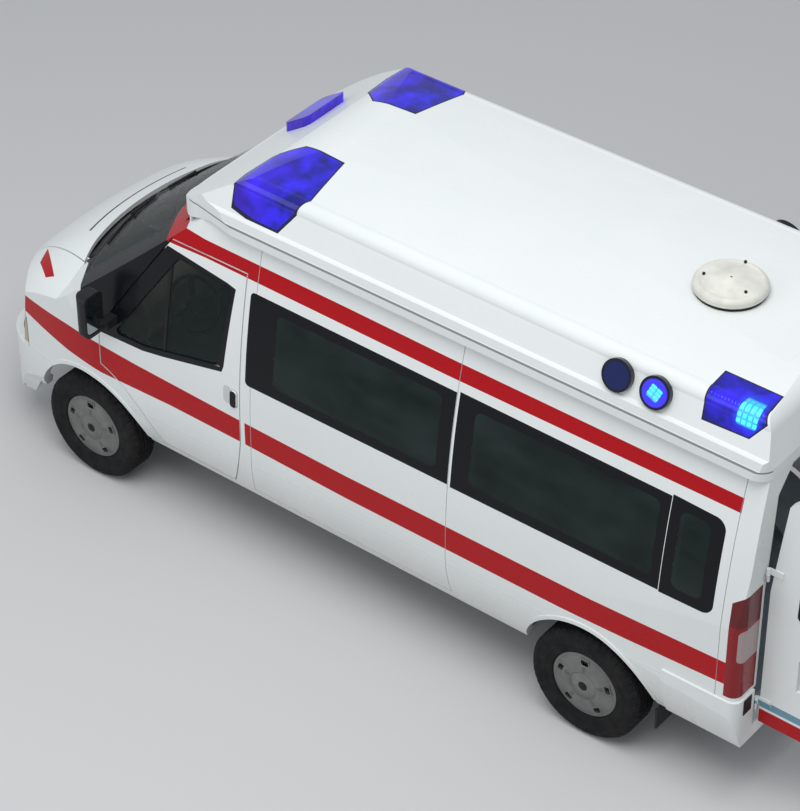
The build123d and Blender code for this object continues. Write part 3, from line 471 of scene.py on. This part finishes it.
def corner_lens(name):
    """Deep blue lens: ribs inside, violet light in it, and a lit module at its rear outer end."""
    paint = Paint(name)
    _, x, y, z = paint.place()
    away = paint.unsigned(y)
    ribs = paint.ripple(paint.plus(x, paint.times(y, 0.6)), 300.0)
    cloud = paint.noise(7.0, 2.0)
    violet = paint.spread(x, -1.45, -1.12, 0.0, 1.0)
    colour = paint.mix(paint.spread(cloud, 0.35, 0.65, 0.0, 1.0), (0.006, 0.008, 0.16), (0.020, 0.012, 0.50))
    colour = paint.mix(paint.times(violet, 0.5), colour, (0.07, 0.012, 0.60))
    glow = paint.times(paint.spread(cloud, 0.40, 0.7, 0.15, 1.0), 0.50)
    module = paint.both(paint.rounded(x, z, *LIT_MODULE, 0.006), paint.above(away, 0.675, 0.01))
    dots = paint.both(*[paint.above(paint.ripple(along, 190.0), -0.55, 0.4) for along in (x, z)])
    halo = paint.both(paint.rounded(x, z, *MODULE_HALO, 0.05), paint.above(away, 0.62, 0.05))
    lit = paint.times(module, paint.blend(dots, 0.45, 1.0))
    light = paint.mix(halo, (0.03, 0.012, 0.85), (0.02, 0.10, 1.0))
    light = paint.mix(lit, light, CYAN_LIGHT)
    power = paint.plus(paint.times(lit, 1.1), paint.times(halo, 0.6))
    paint.set(
        Base_Color=colour, Roughness=0.12, Coat_Weight=0.4, Coat_Roughness=0.05, Specular_IOR_Level=0.3,
        Emission_Color=light, Emission_Strength=paint.plus(power, glow))
    paint.bump(ribs, 0.15, 0.001)
    return paint.mat


def round_lens(name):
    """Round lamps with a black rim: the front one is unlit, the rear one shows its square lit module."""
    paint = Paint(name)
    _, x, _, z = paint.place()
    rear = paint.above(sum(SIDE_LAMPS) / 2, x, 0.01)
    lean_stretch = 1.064
    off_x = paint.minus(x, paint.blend(rear, *SIDE_LAMPS))
    off_z = paint.times(paint.minus(z, SIDE_LAMP_Z), lean_stretch)
    reach = paint.reach(off_x, off_z)
    rim = paint.above(reach, SIDE_LAMP_RIM, 0.004)
    turned_u = paint.plus(paint.times(off_x, 0.94), paint.times(off_z, 0.34))
    turned_v = paint.minus(paint.times(off_z, 0.94), paint.times(off_x, 0.34))
    square = paint.rounded(turned_u, turned_v, -0.040, 0.040, -0.040, 0.040, 0.012, 0.006)
    bars = paint.both(
        paint.above(paint.unsigned(turned_u), 0.004, 0.004),
        paint.above(paint.ripple(turned_v, 260.0), -0.6, 0.4))
    lit = paint.both(rear, square, paint.blend(bars, 0.5, 1.0))
    colour = paint.mix(rear, (0.006, 0.012, 0.09), (0.02, 0.02, 0.6))
    colour = paint.mix(rim, colour, (0.006, 0.006, 0.02))
    light = paint.mix(lit, (0.06, 0.04, 1.0), CYAN_LIGHT)
    haze = paint.both(rear, paint.minus(1.0, rim))
    paint.set(
        Base_Color=colour, Roughness=0.15, Coat_Weight=0.4, Coat_Roughness=0.05, Specular_IOR_Level=0.3,
        Emission_Color=light, Emission_Strength=paint.plus(paint.times(lit, 1.1), paint.times(haze, 0.7)))
    paint.bump(paint.ripple(reach, 500.0), 0.15, 0.001)
    return paint.mat


def headlamp_glass(name):
    """Clear lens over two round bowls in a dark housing, with an amber corner at the outer end; painted shade
    darkens the bowls towards their middle and painted highlights run along the flutes.
    """
    paint = Paint(name)
    _, _, y, z = paint.place()
    away = paint.unsigned(y)
    bowl_painted_shade = []
    bulbs = []
    for bowl_y, bowl_z, radius in BOWLS:
        reach = paint.reach(paint.minus(away, bowl_y), paint.minus(z, bowl_z))
        # Painted shade in the bowl, darker towards its middle
        shade = paint.spread(reach, radius * 0.2, radius, 0.25, 0.9)
        bowl_painted_shade.append(paint.times(paint.above(radius, reach, 0.004), shade))
        bulbs.append(paint.above(radius * 0.28, reach, 0.004))
    flutes = paint.ripple(away, 380.0)
    colour = paint.mix(paint.either(*bowl_painted_shade), (0.26, 0.27, 0.28), (0.60, 0.62, 0.64))
    # Painted highlights along the flutes
    colour = paint.mix(paint.math("MULTIPLY", flutes, 0.12, clamp=True), colour, (0.85, 0.87, 0.90))
    colour = paint.mix(paint.either(*bulbs), colour, (0.10, 0.10, 0.11))
    colour = paint.mix(paint.above(away, HEADLAMP_CORNER), colour, (0.50, 0.36, 0.24))
    paint.set(Base_Color=colour, Roughness=0.10, Metallic=0.2, Coat_Weight=0.8, Coat_Roughness=0.03)
    paint.bump(flutes, 0.2, 0.0015)
    return paint.mat


def from_hub(paint):
    """How far a point lies in front of the nearest wheel's axis, and how far over it."""
    _, x, _, z = paint.place()
    hub_x = paint.times(paint.above(-WHEELBASE / 2, x, 0.01), -WHEELBASE)
    return paint.minus(x, hub_x), paint.minus(z, TYRE_RADIUS)


def tyre_rubber(name):
    """Black rubber, dusty, with painted shade down in the tread's grooves."""
    paint = Paint(name)
    reach = paint.reach(*from_hub(paint))
    off = paint.unsigned(paint.minus(paint.unsigned(paint.place()[2]), TRACK_HALF))
    # Painted shade on the floors of the tread's grooves
    groove_painted_shade = paint.both(paint.above(0.3605, reach), paint.above(reach, 0.354), paint.above(0.075, off))
    dust = paint.spread(paint.noise(16.0, 5.0), 0.35, 0.75, 0.0, 0.5)
    colour = paint.mix(dust, (0.008, 0.008, 0.009), (0.032, 0.030, 0.028))
    colour = paint.mix(groove_painted_shade, colour, (0.004, 0.004, 0.004))
    paint.set(
        Base_Color=colour, Roughness=paint.spread(paint.noise(30.0), 0.3, 0.7, 0.68, 0.9),
        Specular_IOR_Level=0.2)
    paint.bump(paint.noise(260.0), 0.15, 0.0008)
    return paint.mat


def wheel_paint(name):
    """Silver-grey wheel cover with two ring grooves and the parts inboard of it in painted shade, radial
    lines and dust.
    """
    paint = Paint(name)
    along, up = from_hub(paint)
    reach = paint.reach(along, up)
    angle = paint.math("ARCTAN2", up, along)
    # Painted shade in the two ring grooves
    groove = paint.either(
        paint.inside(reach, 0.0885, 0.0915, 0.001), paint.inside(reach, 0.196, 0.1985, 0.001))
    # Painted shade over the wheel's parts inboard of the cover
    inner = paint.above(0.935, paint.unsigned(paint.place()[2]), 0.002)
    clouds = paint.spread(paint.noise(12.0), 0.3, 0.7, 0.0, 1.0)
    colour = paint.mix(clouds, (0.15, 0.15, 0.145), (0.21, 0.21, 0.20))
    fifths = paint.math("COSINE", paint.times(paint.minus(angle, math.pi / 2), 5.0))
    spokes = paint.both(paint.above(fifths, 0.86, 0.03), paint.inside(reach, 0.098, 0.140, 0.002))
    colour = paint.mix(paint.times(spokes, 0.5), colour, (0.07, 0.07, 0.07))
    colour = paint.mix(groove, colour, (0.06, 0.06, 0.06))
    colour = paint.mix(inner, colour, (0.03, 0.03, 0.03))
    paint.set(
        Base_Color=colour, Roughness=paint.spread(paint.noise(40.0), 0.3, 0.7, 0.36, 0.5), Metallic=0.25,
        Specular_IOR_Level=0.3)
    paint.bump(paint.noise(300.0), 0.08, 0.0004)
    return paint.mat


def cloth(name):
    """Woven seat cloth."""
    paint = Paint(name)
    weave = paint.node("ShaderNodeTexWave", wave_type="BANDS")
    paint.put(paint.place()[0], weave.inputs["Vector"])
    weave.inputs["Scale"].default_value = 160.0
    wear = paint.spread(paint.noise(60.0), 0.3, 0.7, 0.0, 1.0)
    colour = paint.mix(wear, (0.035, 0.038, 0.048), (0.075, 0.08, 0.095))
    paint.set(Base_Color=colour, Roughness=0.92, Sheen_Weight=0.3)
    paint.bump(weave.outputs["Fac"], 0.3, 0.0008)
    return paint.mat


# Materials onto the CAD's nodes
def dress(material, *names):
    for name in names:
        mesh = nodes[name].data
        mesh.materials.clear()
        mesh.materials.append(material)


def pair(name):
    return name + "_left", name + "_right"


def worn(name):
    """The material that a node wears."""
    return nodes[name].data.materials[0]


dress(white_paint("white_side", lower=True, upper=True), *pair("body_side"), "side_panel_left",
      "sliding_door", "rear_frame")
dress(white_paint("white_door", lower=True, upper=True, marks=door_marks), *pair("front_door"))
dress(white_paint("white_wing", lower=True, marks=wing_marks), *pair("wing"))
dress(white_paint("white_cab", upper=True, marks=cab_marks), "cab_frame")
dress(white_paint("white_bonnet", marks=bonnet_marks), "bonnet")
dress(white_paint("white_rear_door", marks=rear_door_marks), *pair("rear_door"))
dress(white_paint("white_roof", marks=roof_marks), "raised_roof")
dress(white_paint("white_bumper"), "rear_bumper", "front_bumper")
dress(plain("vent_cream", (0.80, 0.78, 0.70), 0.38), "roof_vent")
dress(side_window("side_window"), *pair("side_glass"), "panel_glass_left", "sliding_door_glass")
dress(clear_glass("rear_window", (0.012, 0.024, 0.022), 0.85, rear_pane_border), *pair("rear_door_glass"))
dress(clear_glass("cab_glass", (0.02, 0.03, 0.028), 0.32), *pair("front_door_glass"))
dress(clear_glass("screen_glass", (0.03, 0.045, 0.04), 0.38), "windscreen")
black = plain("black_plastic", (0.018, 0.018, 0.02), 0.42)
dress(black, *pair("door_mirror"), "grille", "steering_wheel")
dress(plain("bulkhead_trim", (0.35, 0.35, 0.33), 0.6), "bulkhead")
dress(plain("chassis_black", (0.025, 0.025, 0.025), 0.6), "chassis", "rear_axle", "front_subframe",
      *pair("knuckle"))
dress(plain("engine_iron", (0.12, 0.12, 0.12), 0.6, 0.7), "engine")
dress(tyre_rubber("tyre_rubber"), *pair("front_tyre"), *pair("rear_tyre"))
dress(wheel_paint("wheel_silver"), *pair("front_wheel"), *pair("rear_wheel"))
dress(headlamp_glass("headlamp_glass"), *pair("headlamp"))
dress(tail_lens("tail_lens"), "tail_lamps")
dress(corner_lens("blue_lens"), "roof_lamps")
dress(round_lens("blue_round_lens"), "side_lamps")
dress(plain("floor_vinyl", (0.20, 0.23, 0.24), 0.5), "floor")
dress(plain("cab_trim", (0.27, 0.25, 0.19), 0.65), "dashboard")
dress(plain("plinth_trim", (0.06, 0.06, 0.065), 0.6), "seat_plinths")
dress(cloth("seat_cloth_plain"), "seat_cushions", "seat_backs")
dress(plain("hinge_chrome", (0.75, 0.76, 0.77), 0.22, 0.9), "rear_door_hinges")
dark_trim = plain("dark_trim", (0.012, 0.012, 0.013), 0.5)
plate_blue = plain("plate_blue", (0.02, 0.03, 0.30), 0.35, vary=0.1)
mirror_face = plain("mirror_face", (0.35, 0.38, 0.40), 0.05, 1.0, vary=0.05)
beige = plain("dash_beige", (0.36, 0.33, 0.25), 0.6)
seat_fabric = cloth("seat_fabric")


# Piece helpers. Points are given with X from the front axle.
def finish_piece(name, mesh, material, body, bevel=0.0, smooth=True):
    piece = bpy.data.objects.new(name, mesh)
    scene.collection.objects.link(piece)
    piece.data.materials.append(material)
    if smooth:
        for polygon in mesh.polygons:
            polygon.use_smooth = True
    if bevel:
        made = piece.modifiers.new("bevel", "BEVEL")
        made.width = bevel
        made.segments = 2
        made.limit_method = "ANGLE"
        made.harden_normals = False
    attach(piece, body)
    return piece


def mesh_of(name, build):
    work = bmesh.new()
    build(work)
    bmesh.ops.recalc_face_normals(work, faces=work.faces)
    mesh = bpy.data.meshes.new(name)
    work.to_mesh(mesh)
    work.free()
    return mesh


def band(work, ring, other):
    """A closed band of faces between two rings of corners that match one to one."""
    for index in range(len(ring)):
        follow = (index + 1) % len(ring)
        work.faces.new((ring[index], ring[follow], other[follow], other[index]))


def loft(work, rings):
    """Bands from ring to ring, with both ends closed."""
    for ring, other in zip(rings, rings[1:]):
        band(work, ring, other)
    work.faces.new(rings[0][::-1])
    work.faces.new(rings[-1])


def prism(name, outline, axis, low, high, material, body, bevel=0.0):
    """An outline in the plane across an axis, carried along it."""
    def point(u, v, w):
        if axis == "x":
            return (w + AXLE, u, v)
        if axis == "y":
            return (u + AXLE, w, v)
        return (u + AXLE, v, w)

    def build(work):
        loft(work, [[work.verts.new(point(u, v, w)) for u, v in outline] for w in (low, high)])
    return finish_piece(name, mesh_of(name, build), material, body, bevel, smooth=False)


def rounded_rectangle(u0, u1, v0, v1, radius, steps=5):
    points = []
    for cu, cv, start in ((u1 - radius, v1 - radius, 0), (u0 + radius, v1 - radius, 90),
                          (u0 + radius, v0 + radius, 180), (u1 - radius, v0 + radius, 270)):
        for step in range(steps + 1):
            angle = math.radians(start + 90 * step / steps)
            points.append((cu + radius * math.cos(angle), cv + radius * math.sin(angle)))
    return points


def mirrored(sign, outline):
    """An outline of Y and Z on one side of the vehicle: the left for 1, the right for -1."""
    return [(sign * u, v) for u, v in outline]


def lathe(name, profile, centre, axis, material, body, steps=48):
    """A profile of radius and height turned round an axis through a point."""
    direction = Vector(axis).normalized()
    first = direction.orthogonal().normalized()
    second = direction.cross(first)
    middle = Vector((centre[0] + AXLE, centre[1], centre[2]))

    def build(work):
        rings = []
        for radius, height in profile:
            ring = []
            for step in range(steps):
                angle = math.tau * step / steps
                offset = first * math.cos(angle) * radius + second * math.sin(angle) * radius
                ring.append(work.verts.new(middle + direction * height + offset))
            rings.append(ring)
        loft(work, rings)
    return finish_piece(name, mesh_of(name, build), material, body)


def tube(name, points, radius, material, body):
    """A round bar through a list of points."""
    curve = bpy.data.curves.new(name, "CURVE")
    curve.dimensions = "3D"
    curve.bevel_depth = radius
    curve.bevel_resolution = 2
    curve.use_fill_caps = True
    spline = curve.splines.new("POLY")
    spline.points.add(len(points) - 1)
    for target, (x, y, z) in zip(spline.points, points):
        target.co = (x + AXLE, y, z, 1.0)
    piece = bpy.data.objects.new(name, curve)
    scene.collection.objects.link(piece)
    piece.data.materials.append(material)
    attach(piece, body)
    return piece


def strip(name, points, across, thickness, material, body):
    """A flat bar along points, with a vector for half its width and one for half its thickness."""
    def build(work):
        rings = []
        for x, y, z in points:
            base = Vector((x + AXLE, y, z))
            rings.append([
                work.verts.new(base - across - thickness), work.verts.new(base + across - thickness),
                work.verts.new(base + across + thickness), work.verts.new(base - across + thickness)])
        loft(work, rings)
    return finish_piece(name, mesh_of(name, build), material, body, smooth=False)


def side_y(z):
    """The side skin's distance from the middle at a height."""
    for (low, y_low), (high, y_high) in zip(SIDE_SECTION, SIDE_SECTION[1:]):
        if low <= z <= high:
            return y_low + (y_high - y_low) * (z - low) / (high - low)
    return SIDE_SECTION[-1][1]


# The windscreen: X and Z of its middle, its slope as run and rise, and its curve with the square of Y
SCREEN_MIDDLE = (-0.053, 1.725)
SCREEN_SLOPE = (0.7725, 0.635)
SCREEN_CURVE = 0.33


def screen_point(y, up, lift):
    """A point on the windscreen: Y, the distance up its slope from its middle, and a lift off the glass."""
    run, rise = SCREEN_SLOPE
    back = SCREEN_CURVE * y * y * rise - lift
    return (SCREEN_MIDDLE[0] - run * up - rise * back, y, SCREEN_MIDDLE[1] + rise * up - run * back)


# Tyres with a cut tread, in place of the plain ones
TREAD_STEPS = 240
CUT_EVERY = 5
TREAD_HALF = 0.0735
GROOVES = (0.045, 0.015)
GROOVE_DEPTH = 0.007
GROOVE_TOP_HALF = 0.005
GROOVE_FLOOR_HALF = 0.0035
SHOULDER_FROM = 0.052
SHOULDER_CUT = 0.006
RIB_CUT = 0.003


def tyre_profile():
    """Radius and distance from the middle of the tyre's section, from one bead round to the other."""
    half = [(BEAD_RADIUS, 0.076), (FLANGE_RADIUS, 0.0765), (FLANGE_RADIUS + 0.008, 0.092), (0.262, 0.1005),
            (0.2635, 0.1025), (0.272, 0.1035), (0.274, 0.1025), (0.3195, 0.1072), (0.336, 0.1035),
            (0.3505, 0.0935), (TYRE_RADIUS, TREAD_HALF)]
    for middle in GROOVES:
        half += [
            (TYRE_RADIUS, middle + GROOVE_TOP_HALF),
            (TYRE_RADIUS - GROOVE_DEPTH, middle + GROOVE_FLOOR_HALF),
            (TYRE_RADIUS - GROOVE_DEPTH, middle - GROOVE_FLOOR_HALF),
            (TYRE_RADIUS, middle - GROOVE_TOP_HALF)]
    return [(radius, -width) for radius, width in half] + [(radius, width) for radius, width in half[::-1]]


def tread_depth(step, radius, width):
    """How deep the shoulder cuts and the finer rib cuts are at a step round the tyre."""
    on_shoulder = abs(width) > SHOULDER_FROM
    if step % CUT_EVERY == 0 and radius > 0.345 and on_shoulder:
        return SHOULDER_CUT
    if step % CUT_EVERY == 2 and radius > 0.363 and not on_shoulder:
        return RIB_CUT
    return 0.0


def cut_tyre(node, body, wheel_x, sign):
    profile = tyre_profile()

    def build(work):
        rings = []
        for step in range(TREAD_STEPS):
            angle = math.tau * step / TREAD_STEPS
            ring = []
            for radius, width in profile:
                reach = radius - tread_depth(step, radius, width)
                ring.append(work.verts.new((
                    wheel_x + AXLE + reach * math.cos(angle), sign * TRACK_HALF + width,
                    TYRE_RADIUS + reach * math.sin(angle))))
            rings.append(ring)
        for ring, other in zip(rings, rings[1:] + rings[:1]):
            band(work, ring, other)
    name = node + "_treaded"
    piece = finish_piece(name, mesh_of(name, build), worn(node), body, smooth=False)
    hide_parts(node)


for side, sign in SIDES:
    for end, wheel_x in WHEEL_ENDS:
        cut_tyre(f"{end}_tyre_{side}", f"{end}_wheel_{side}", wheel_x, sign)

# Wheel covers: raised plateau, dark centre cap, window frames, and a black disc behind the windows as painted
# shade. Depths are measured along the axle.
WINDOWS = 5
WINDOW_REACH = 0.168
COVER_FACE = TRACK_HALF + 0.0995
WINDOW_FACE = TRACK_HALF + 0.0925
SHADE_DISC_FACE = TRACK_HALF + 0.058
PLATEAU = [(0.0, 0.004), (0.030, 0.004), (0.084, 0.003), (0.088, -0.004), (0.0, -0.004)]
CENTRE_CAP = [(0.0, 0.0062), (0.026, 0.0060), (0.031, 0.0035), (0.031, 0.0)]
BACK_DISC = [(0.0, 0.0), (0.195, 0.0), (0.195, -0.004), (0.0, -0.004)]


def window_frame(name, body, wheel_x, sign, angle):
    """The raised lip of a cover's window and the walls down into it."""
    outwards = Vector((math.cos(angle), math.sin(angle)))
    along = Vector((-math.sin(angle), math.cos(angle)))

    def ring(half_u, half_v, radius):
        spots = [outwards * WINDOW_REACH + along * u + outwards * v
                 for u, v in rounded_rectangle(-half_u, half_u, -half_v, half_v, radius, 3)]
        return [(wheel_x + spot.x + AXLE, TYRE_RADIUS + spot.y) for spot in spots]

    outer = ring(0.031, 0.023, 0.006)
    inner = ring(0.024, 0.017, 0.004)

    def build(work):
        rows = []
        for outline, depth in ((outer, -0.004), (outer, 0.0035), (inner, 0.0035), (inner, -0.030)):
            rows.append([work.verts.new((x, sign * (WINDOW_FACE + depth), z)) for x, z in outline])
        for row, other in zip(rows, rows[1:]):
            band(work, row, other)
    finish_piece(name, mesh_of(name, build), worn(body), body, smooth=False)


def wheel_cover(body, wheel_x, sign):
    out = (0, sign, 0)
    centre = (wheel_x, sign * COVER_FACE, TYRE_RADIUS)
    lathe(f"{body}_plateau", PLATEAU, centre, out, worn(body), body)
    lathe(f"{body}_centre", CENTRE_CAP, centre, out, dark_trim, body, 32)
    for index in range(WINDOWS):
        window_frame(f"{body}_window_{index}", body, wheel_x, sign, math.radians(90 + 360 / WINDOWS * index))
    # A black disc behind the windows, as painted shade inside the wheel
    lathe(f"{body}_shade_disc", BACK_DISC, (wheel_x, sign * SHADE_DISC_FACE, TYRE_RADIUS), out, dark_trim, body)


for side, sign in SIDES:
    for end, wheel_x in WHEEL_ENDS:
        wheel_cover(f"{end}_wheel_{side}", wheel_x, sign)

# The rear door's outer face, as distance from the middle with the door at rest
REAR_DOOR_FACE = 0.772


def front_door_pieces(door, sign):
    """The upright bar in the window and the mirror's glass."""
    base, top, steps = 1.245, 1.952, 6
    bar = []
    for step in range(steps + 1):
        z = base + (top - base) * step / steps
        bar.append((-0.667 - 0.033 * step / steps, sign * (side_y(z) - 0.012), z))
    strip(f"{door}_divider", bar, Vector((0.011, 0, 0)), Vector((0, 0.006 * sign, 0)), dark_trim, door)
    prism(f"{door}_mirror_face", mirrored(sign, rounded_rectangle(1.054, 1.174, 1.304, 1.556, 0.036)), "x",
          -0.2445, -0.2405, mirror_face, door)


def rear_door_pieces(door, sign, with_plate):
    """The handle, and on one door the blank number plate with its lamp."""
    pieces = [(f"{door}_handle", (-5.50, -5.36, 1.175, 1.215, 0.012), -0.004, 0.018, dark_trim, 0.004)]
    if with_plate:
        pieces += [
            ("rear_plate_blank", (-5.42, -5.02, 0.925, 1.075, 0.012), -0.022, -0.016, plate_blue, 0.002),
            ("rear_plate_lamp", (-5.30, -5.14, 1.085, 1.112, 0.008), -0.022, 0.004, dark_trim, 0.003)]
    for name, outline, low, high, material, bevel in pieces:
        prism(name, rounded_rectangle(*outline), "y", sign * (REAR_DOOR_FACE + low),
              sign * (REAR_DOOR_FACE + high), material, door, bevel)


def wiper(side, sign):
    blade = [screen_point(sign * y, up, 0.010)
             for y, up in ((0.06, -0.325), (0.22, -0.318), (0.40, -0.300), (0.60, -0.262))]
    tube(f"wiper_blade_{side}", blade, 0.007, dark_trim, "body")
    arm = [screen_point(sign * 0.10, -0.372, 0.012), screen_point(sign * 0.30, -0.309, 0.020)]
    tube(f"wiper_arm_{side}", arm, 0.006, dark_trim, "body")


def front_closers(side, sign):
    """What closes the solids' open places: header corner, under the headlamp, the bumper's side slot."""
    header = ((0.80, 2.05), (0.80, 2.235), (0.54, 2.235), (0.54, 2.12), (0.68, 2.08))
    prism(f"header_closer_{side}", mirrored(sign, header), "x", -0.785, -0.775, worn("raised_roof"), "body")
    sill = [(x - 0.012, sign * y, 0.722) for y, x in (
        (0.53, 0.832), (0.60, 0.797), (0.65, 0.772), (0.70, 0.742), (0.75, 0.710), (0.80, 0.674),
        (0.83, 0.652))]
    strip(f"lamp_sill_{side}", sill, Vector((0, 0, 0.029)), Vector((0.004, 0, 0)), worn("front_bumper"),
          "body")
    intake = [(x - 0.022, sign * y, 0.395)
              for y, x in ((0.715, 0.832), (0.75, 0.808), (0.80, 0.770), (0.85, 0.712))]
    strip(f"bumper_intake_{side}", intake, Vector((0, 0, 0.100)), Vector((0.003, 0, 0)), black, "body")
    bars = [(x - 0.012, sign * y) for y, x in ((0.725, 0.826), (0.75, 0.808), (0.80, 0.770), (0.83, 0.738))]
    for index, level in enumerate((0.340, 0.380, 0.420, 0.460)):
        strip(f"bumper_intake_bar_{side}_{index}", [(x, y, level) for x, y in bars], Vector((0, 0, 0.005)),
              Vector((0.004, 0, 0)), dark_trim, "body")


for side, sign in SIDES:
    front_door_pieces(f"front_door_{side}", sign)
    rear_door_pieces(f"rear_door_{side}", sign, side == "left")
    prism(f"bumper_square_{side}", mirrored(sign, rounded_rectangle(0.835, 0.915, 0.690, 0.800, 0.006)), "x",
          -4.7565, -4.7405, dark_trim, "body", 0.002)
    wiper(side, sign)
    front_closers(side, sign)

# Round roof ventilator: a black disc as painted shade in the gap under the rim, the middle screw and three
# clips
VENT_X = -3.92
VENT_CLIPS = ((-3.781, 0.054), (-3.897, -0.172), (-4.048, 0.056))
CLIP_HALF = 0.007
UP = (0, 0, 1)
lathe("vent_gap_shade", [(0.0, 0.0), (0.196, 0.0), (0.196, 0.020), (0.0, 0.020)], (VENT_X, 0, 2.632), UP, dark_trim,
      "body")
lathe("vent_screw", [(0.0, 0.0), (0.006, 0.0), (0.006, 0.004)], (VENT_X, 0, 2.7148), UP, dark_trim, "body",
      12)
for index, (clip_x, clip_y) in enumerate(VENT_CLIPS):
    clip = rounded_rectangle(
        clip_x - CLIP_HALF, clip_x + CLIP_HALF, clip_y - CLIP_HALF, clip_y + CLIP_HALF, 0.003)
    prism(f"vent_clip_{index}", clip, "z", 2.690, 2.7145, dark_trim, "body")

# Seats: padded pieces in place of the plain cushions and backs. Grooves run at these shares of half a width.
SEAT_Y = (-0.430, 0.400)
SEAT_GROOVES = (-0.55, 0.55)
BACK_LEAN = -12
PAD_STEPS = 14
PAD_POWER = 5.0
GROOVE_SHARE = 0.05
GROOVE_DIP = 0.06


def padded_block(work, low, high, grooves):
    """A block with swollen faces, rounded edges and sewn grooves along it."""
    size = high - low
    made = {}

    def vertex(i, j, k):
        key = (i, j, k)
        if key not in made:
            u, v, w = (2 * step / PAD_STEPS - 1 for step in key)
            length = (abs(u) ** PAD_POWER + abs(v) ** PAD_POWER + abs(w) ** PAD_POWER) ** (1 / PAD_POWER)
            spot = Vector((u, v, w)) * (1.0 / length) * max(abs(u), abs(v), abs(w))
            dip = sum(math.exp(-((v - groove) / GROOVE_SHARE) ** 2) for groove in grooves)
            shrink = 1 - GROOVE_DIP * min(dip, 1.0)
            made[key] = work.verts.new((
                low.x + size.x * (spot.x * shrink + 1) / 2,
                low.y + size.y * (spot.y + 1) / 2,
                low.z + size.z * (spot.z * shrink + 1) / 2))
        return made[key]

    for i in range(PAD_STEPS):
        for j in range(PAD_STEPS):
            corners = ((i, j), (i + 1, j), (i + 1, j + 1), (i, j + 1))
            for fixed in (0, PAD_STEPS):
                work.faces.new([vertex(fixed, a, b) for a, b in corners])
                work.faces.new([vertex(a, fixed, b) for a, b in corners])
                work.faces.new([vertex(a, b, fixed) for a, b in corners])


def seat_piece(name, node, parts, lean):
    """One padded piece for a node: blocks in the lean's own frame, turned back about Y."""
    def build(work):
        turn = Matrix.Rotation(math.radians(lean), 4, "Y")
        for middle, size, grooves in parts:
            start = len(work.verts)
            half = Vector(size) / 2
            padded_block(work, -half, half, grooves)
            work.verts.ensure_lookup_table()
            for vert in work.verts[start:]:
                spot = turn @ vert.co
                vert.co = (spot.x + middle[0] + AXLE, spot.y + middle[1], spot.z + middle[2])
    piece = finish_piece(name, mesh_of(name, build), seat_fabric, "body")
    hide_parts(node)


cushions = [((-0.915, y, 0.8505), (0.468, 0.478, 0.099), SEAT_GROOVES) for y in SEAT_Y]
backs = [((-1.165, y, 1.206), (0.118, 0.458, 0.618), SEAT_GROOVES) for y in SEAT_Y]
headrests = [((-1.225, y, 1.591), (0.088, 0.258, 0.168), ()) for y in SEAT_Y]
seat_piece("padded_cushions", "seat_cushions", cushions, 0)
seat_piece("padded_backs", "seat_backs", backs + headrests, BACK_LEAN)

# Dashboard top: a shelf with two cup holders
SHELF_TOP = 1.262
SHELF = [(-0.30, -0.20), (-0.14, -0.20), (-0.14, 0.18), (-0.30, 0.18)]
prism("dash_shelf", SHELF, "z", 1.236, SHELF_TOP, beige, "body", 0.008)
for index, holder_y in enumerate((-0.10, 0.02)):
    lathe(f"cup_holder_{index}", [(0.0, 0.002), (0.036, 0.002), (0.036, 0.0), (0.0, 0.0)],
          (-0.22, holder_y, SHELF_TOP), UP, dark_trim, "body", 28)

# Camera, solved from the photograph, whose focal length is in its pixels
PHOTO_HEIGHT = 811
FOCAL_PIXELS = 3013.20
SENSOR = 36.0
camera = bpy.data.objects.new("camera", bpy.data.cameras.new("camera"))
scene.collection.objects.link(camera)
right = Vector((-0.784384, -0.620271, -0.002178))
down = Vector((-0.383137, 0.487264, -0.784717))
ahead = Vector((0.487799, -0.614685, -0.619851))
camera.matrix_world = Matrix.Translation((-10.583253 + AXLE, 11.221410, 12.070845)) @ Matrix(
    (right, -down, -ahead)).transposed().to_4x4()
camera.data.sensor_width = SENSOR
camera.data.lens = FOCAL_PIXELS / PHOTO_HEIGHT * SENSOR
camera.data.clip_end = 200.0
scene.camera = camera
scene.view_settings.view_transform = "Standard"

# Floor and light
bpy.ops.mesh.primitive_plane_add(size=60, location=(0, 0, 0))
floor = bpy.context.object
floor.name = "studio_floor"
floor_paint = Paint("studio_floor")
floor_paint.set(Base_Color=(0.62, 0.61, 0.60, 1.0), Roughness=0.9)
floor.data.materials.append(floor_paint.mat)

world = bpy.data.worlds.new("world")
scene.world = world
world.use_nodes = True
sky = world.node_tree.nodes["Background"]
sky.inputs["Color"].default_value = (0.82, 0.88, 0.95, 1.0)
sky.inputs["Strength"].default_value = 0.55


def area_light(name, position, size, power, colour=(1, 1, 1)):
    """A round light that looks at the vehicle."""
    light = bpy.data.lights.new(name, "AREA")
    light.shape = "DISK"
    light.size = size
    light.energy = power
    light.color = colour
    holder = bpy.data.objects.new(name, light)
    holder.location = position
    look = Vector((0, 0, 1)) - Vector(position)
    holder.rotation_euler = look.to_track_quat("-Z", "Y").to_euler()
    scene.collection.objects.link(holder)


area_light("sky_key", (-2.0, 4.0, 12.5), 9.0, 880)
area_light("sky_fill", (5.0, 9.0, 7.0), 8.0, 180, (0.92, 0.96, 1.0))
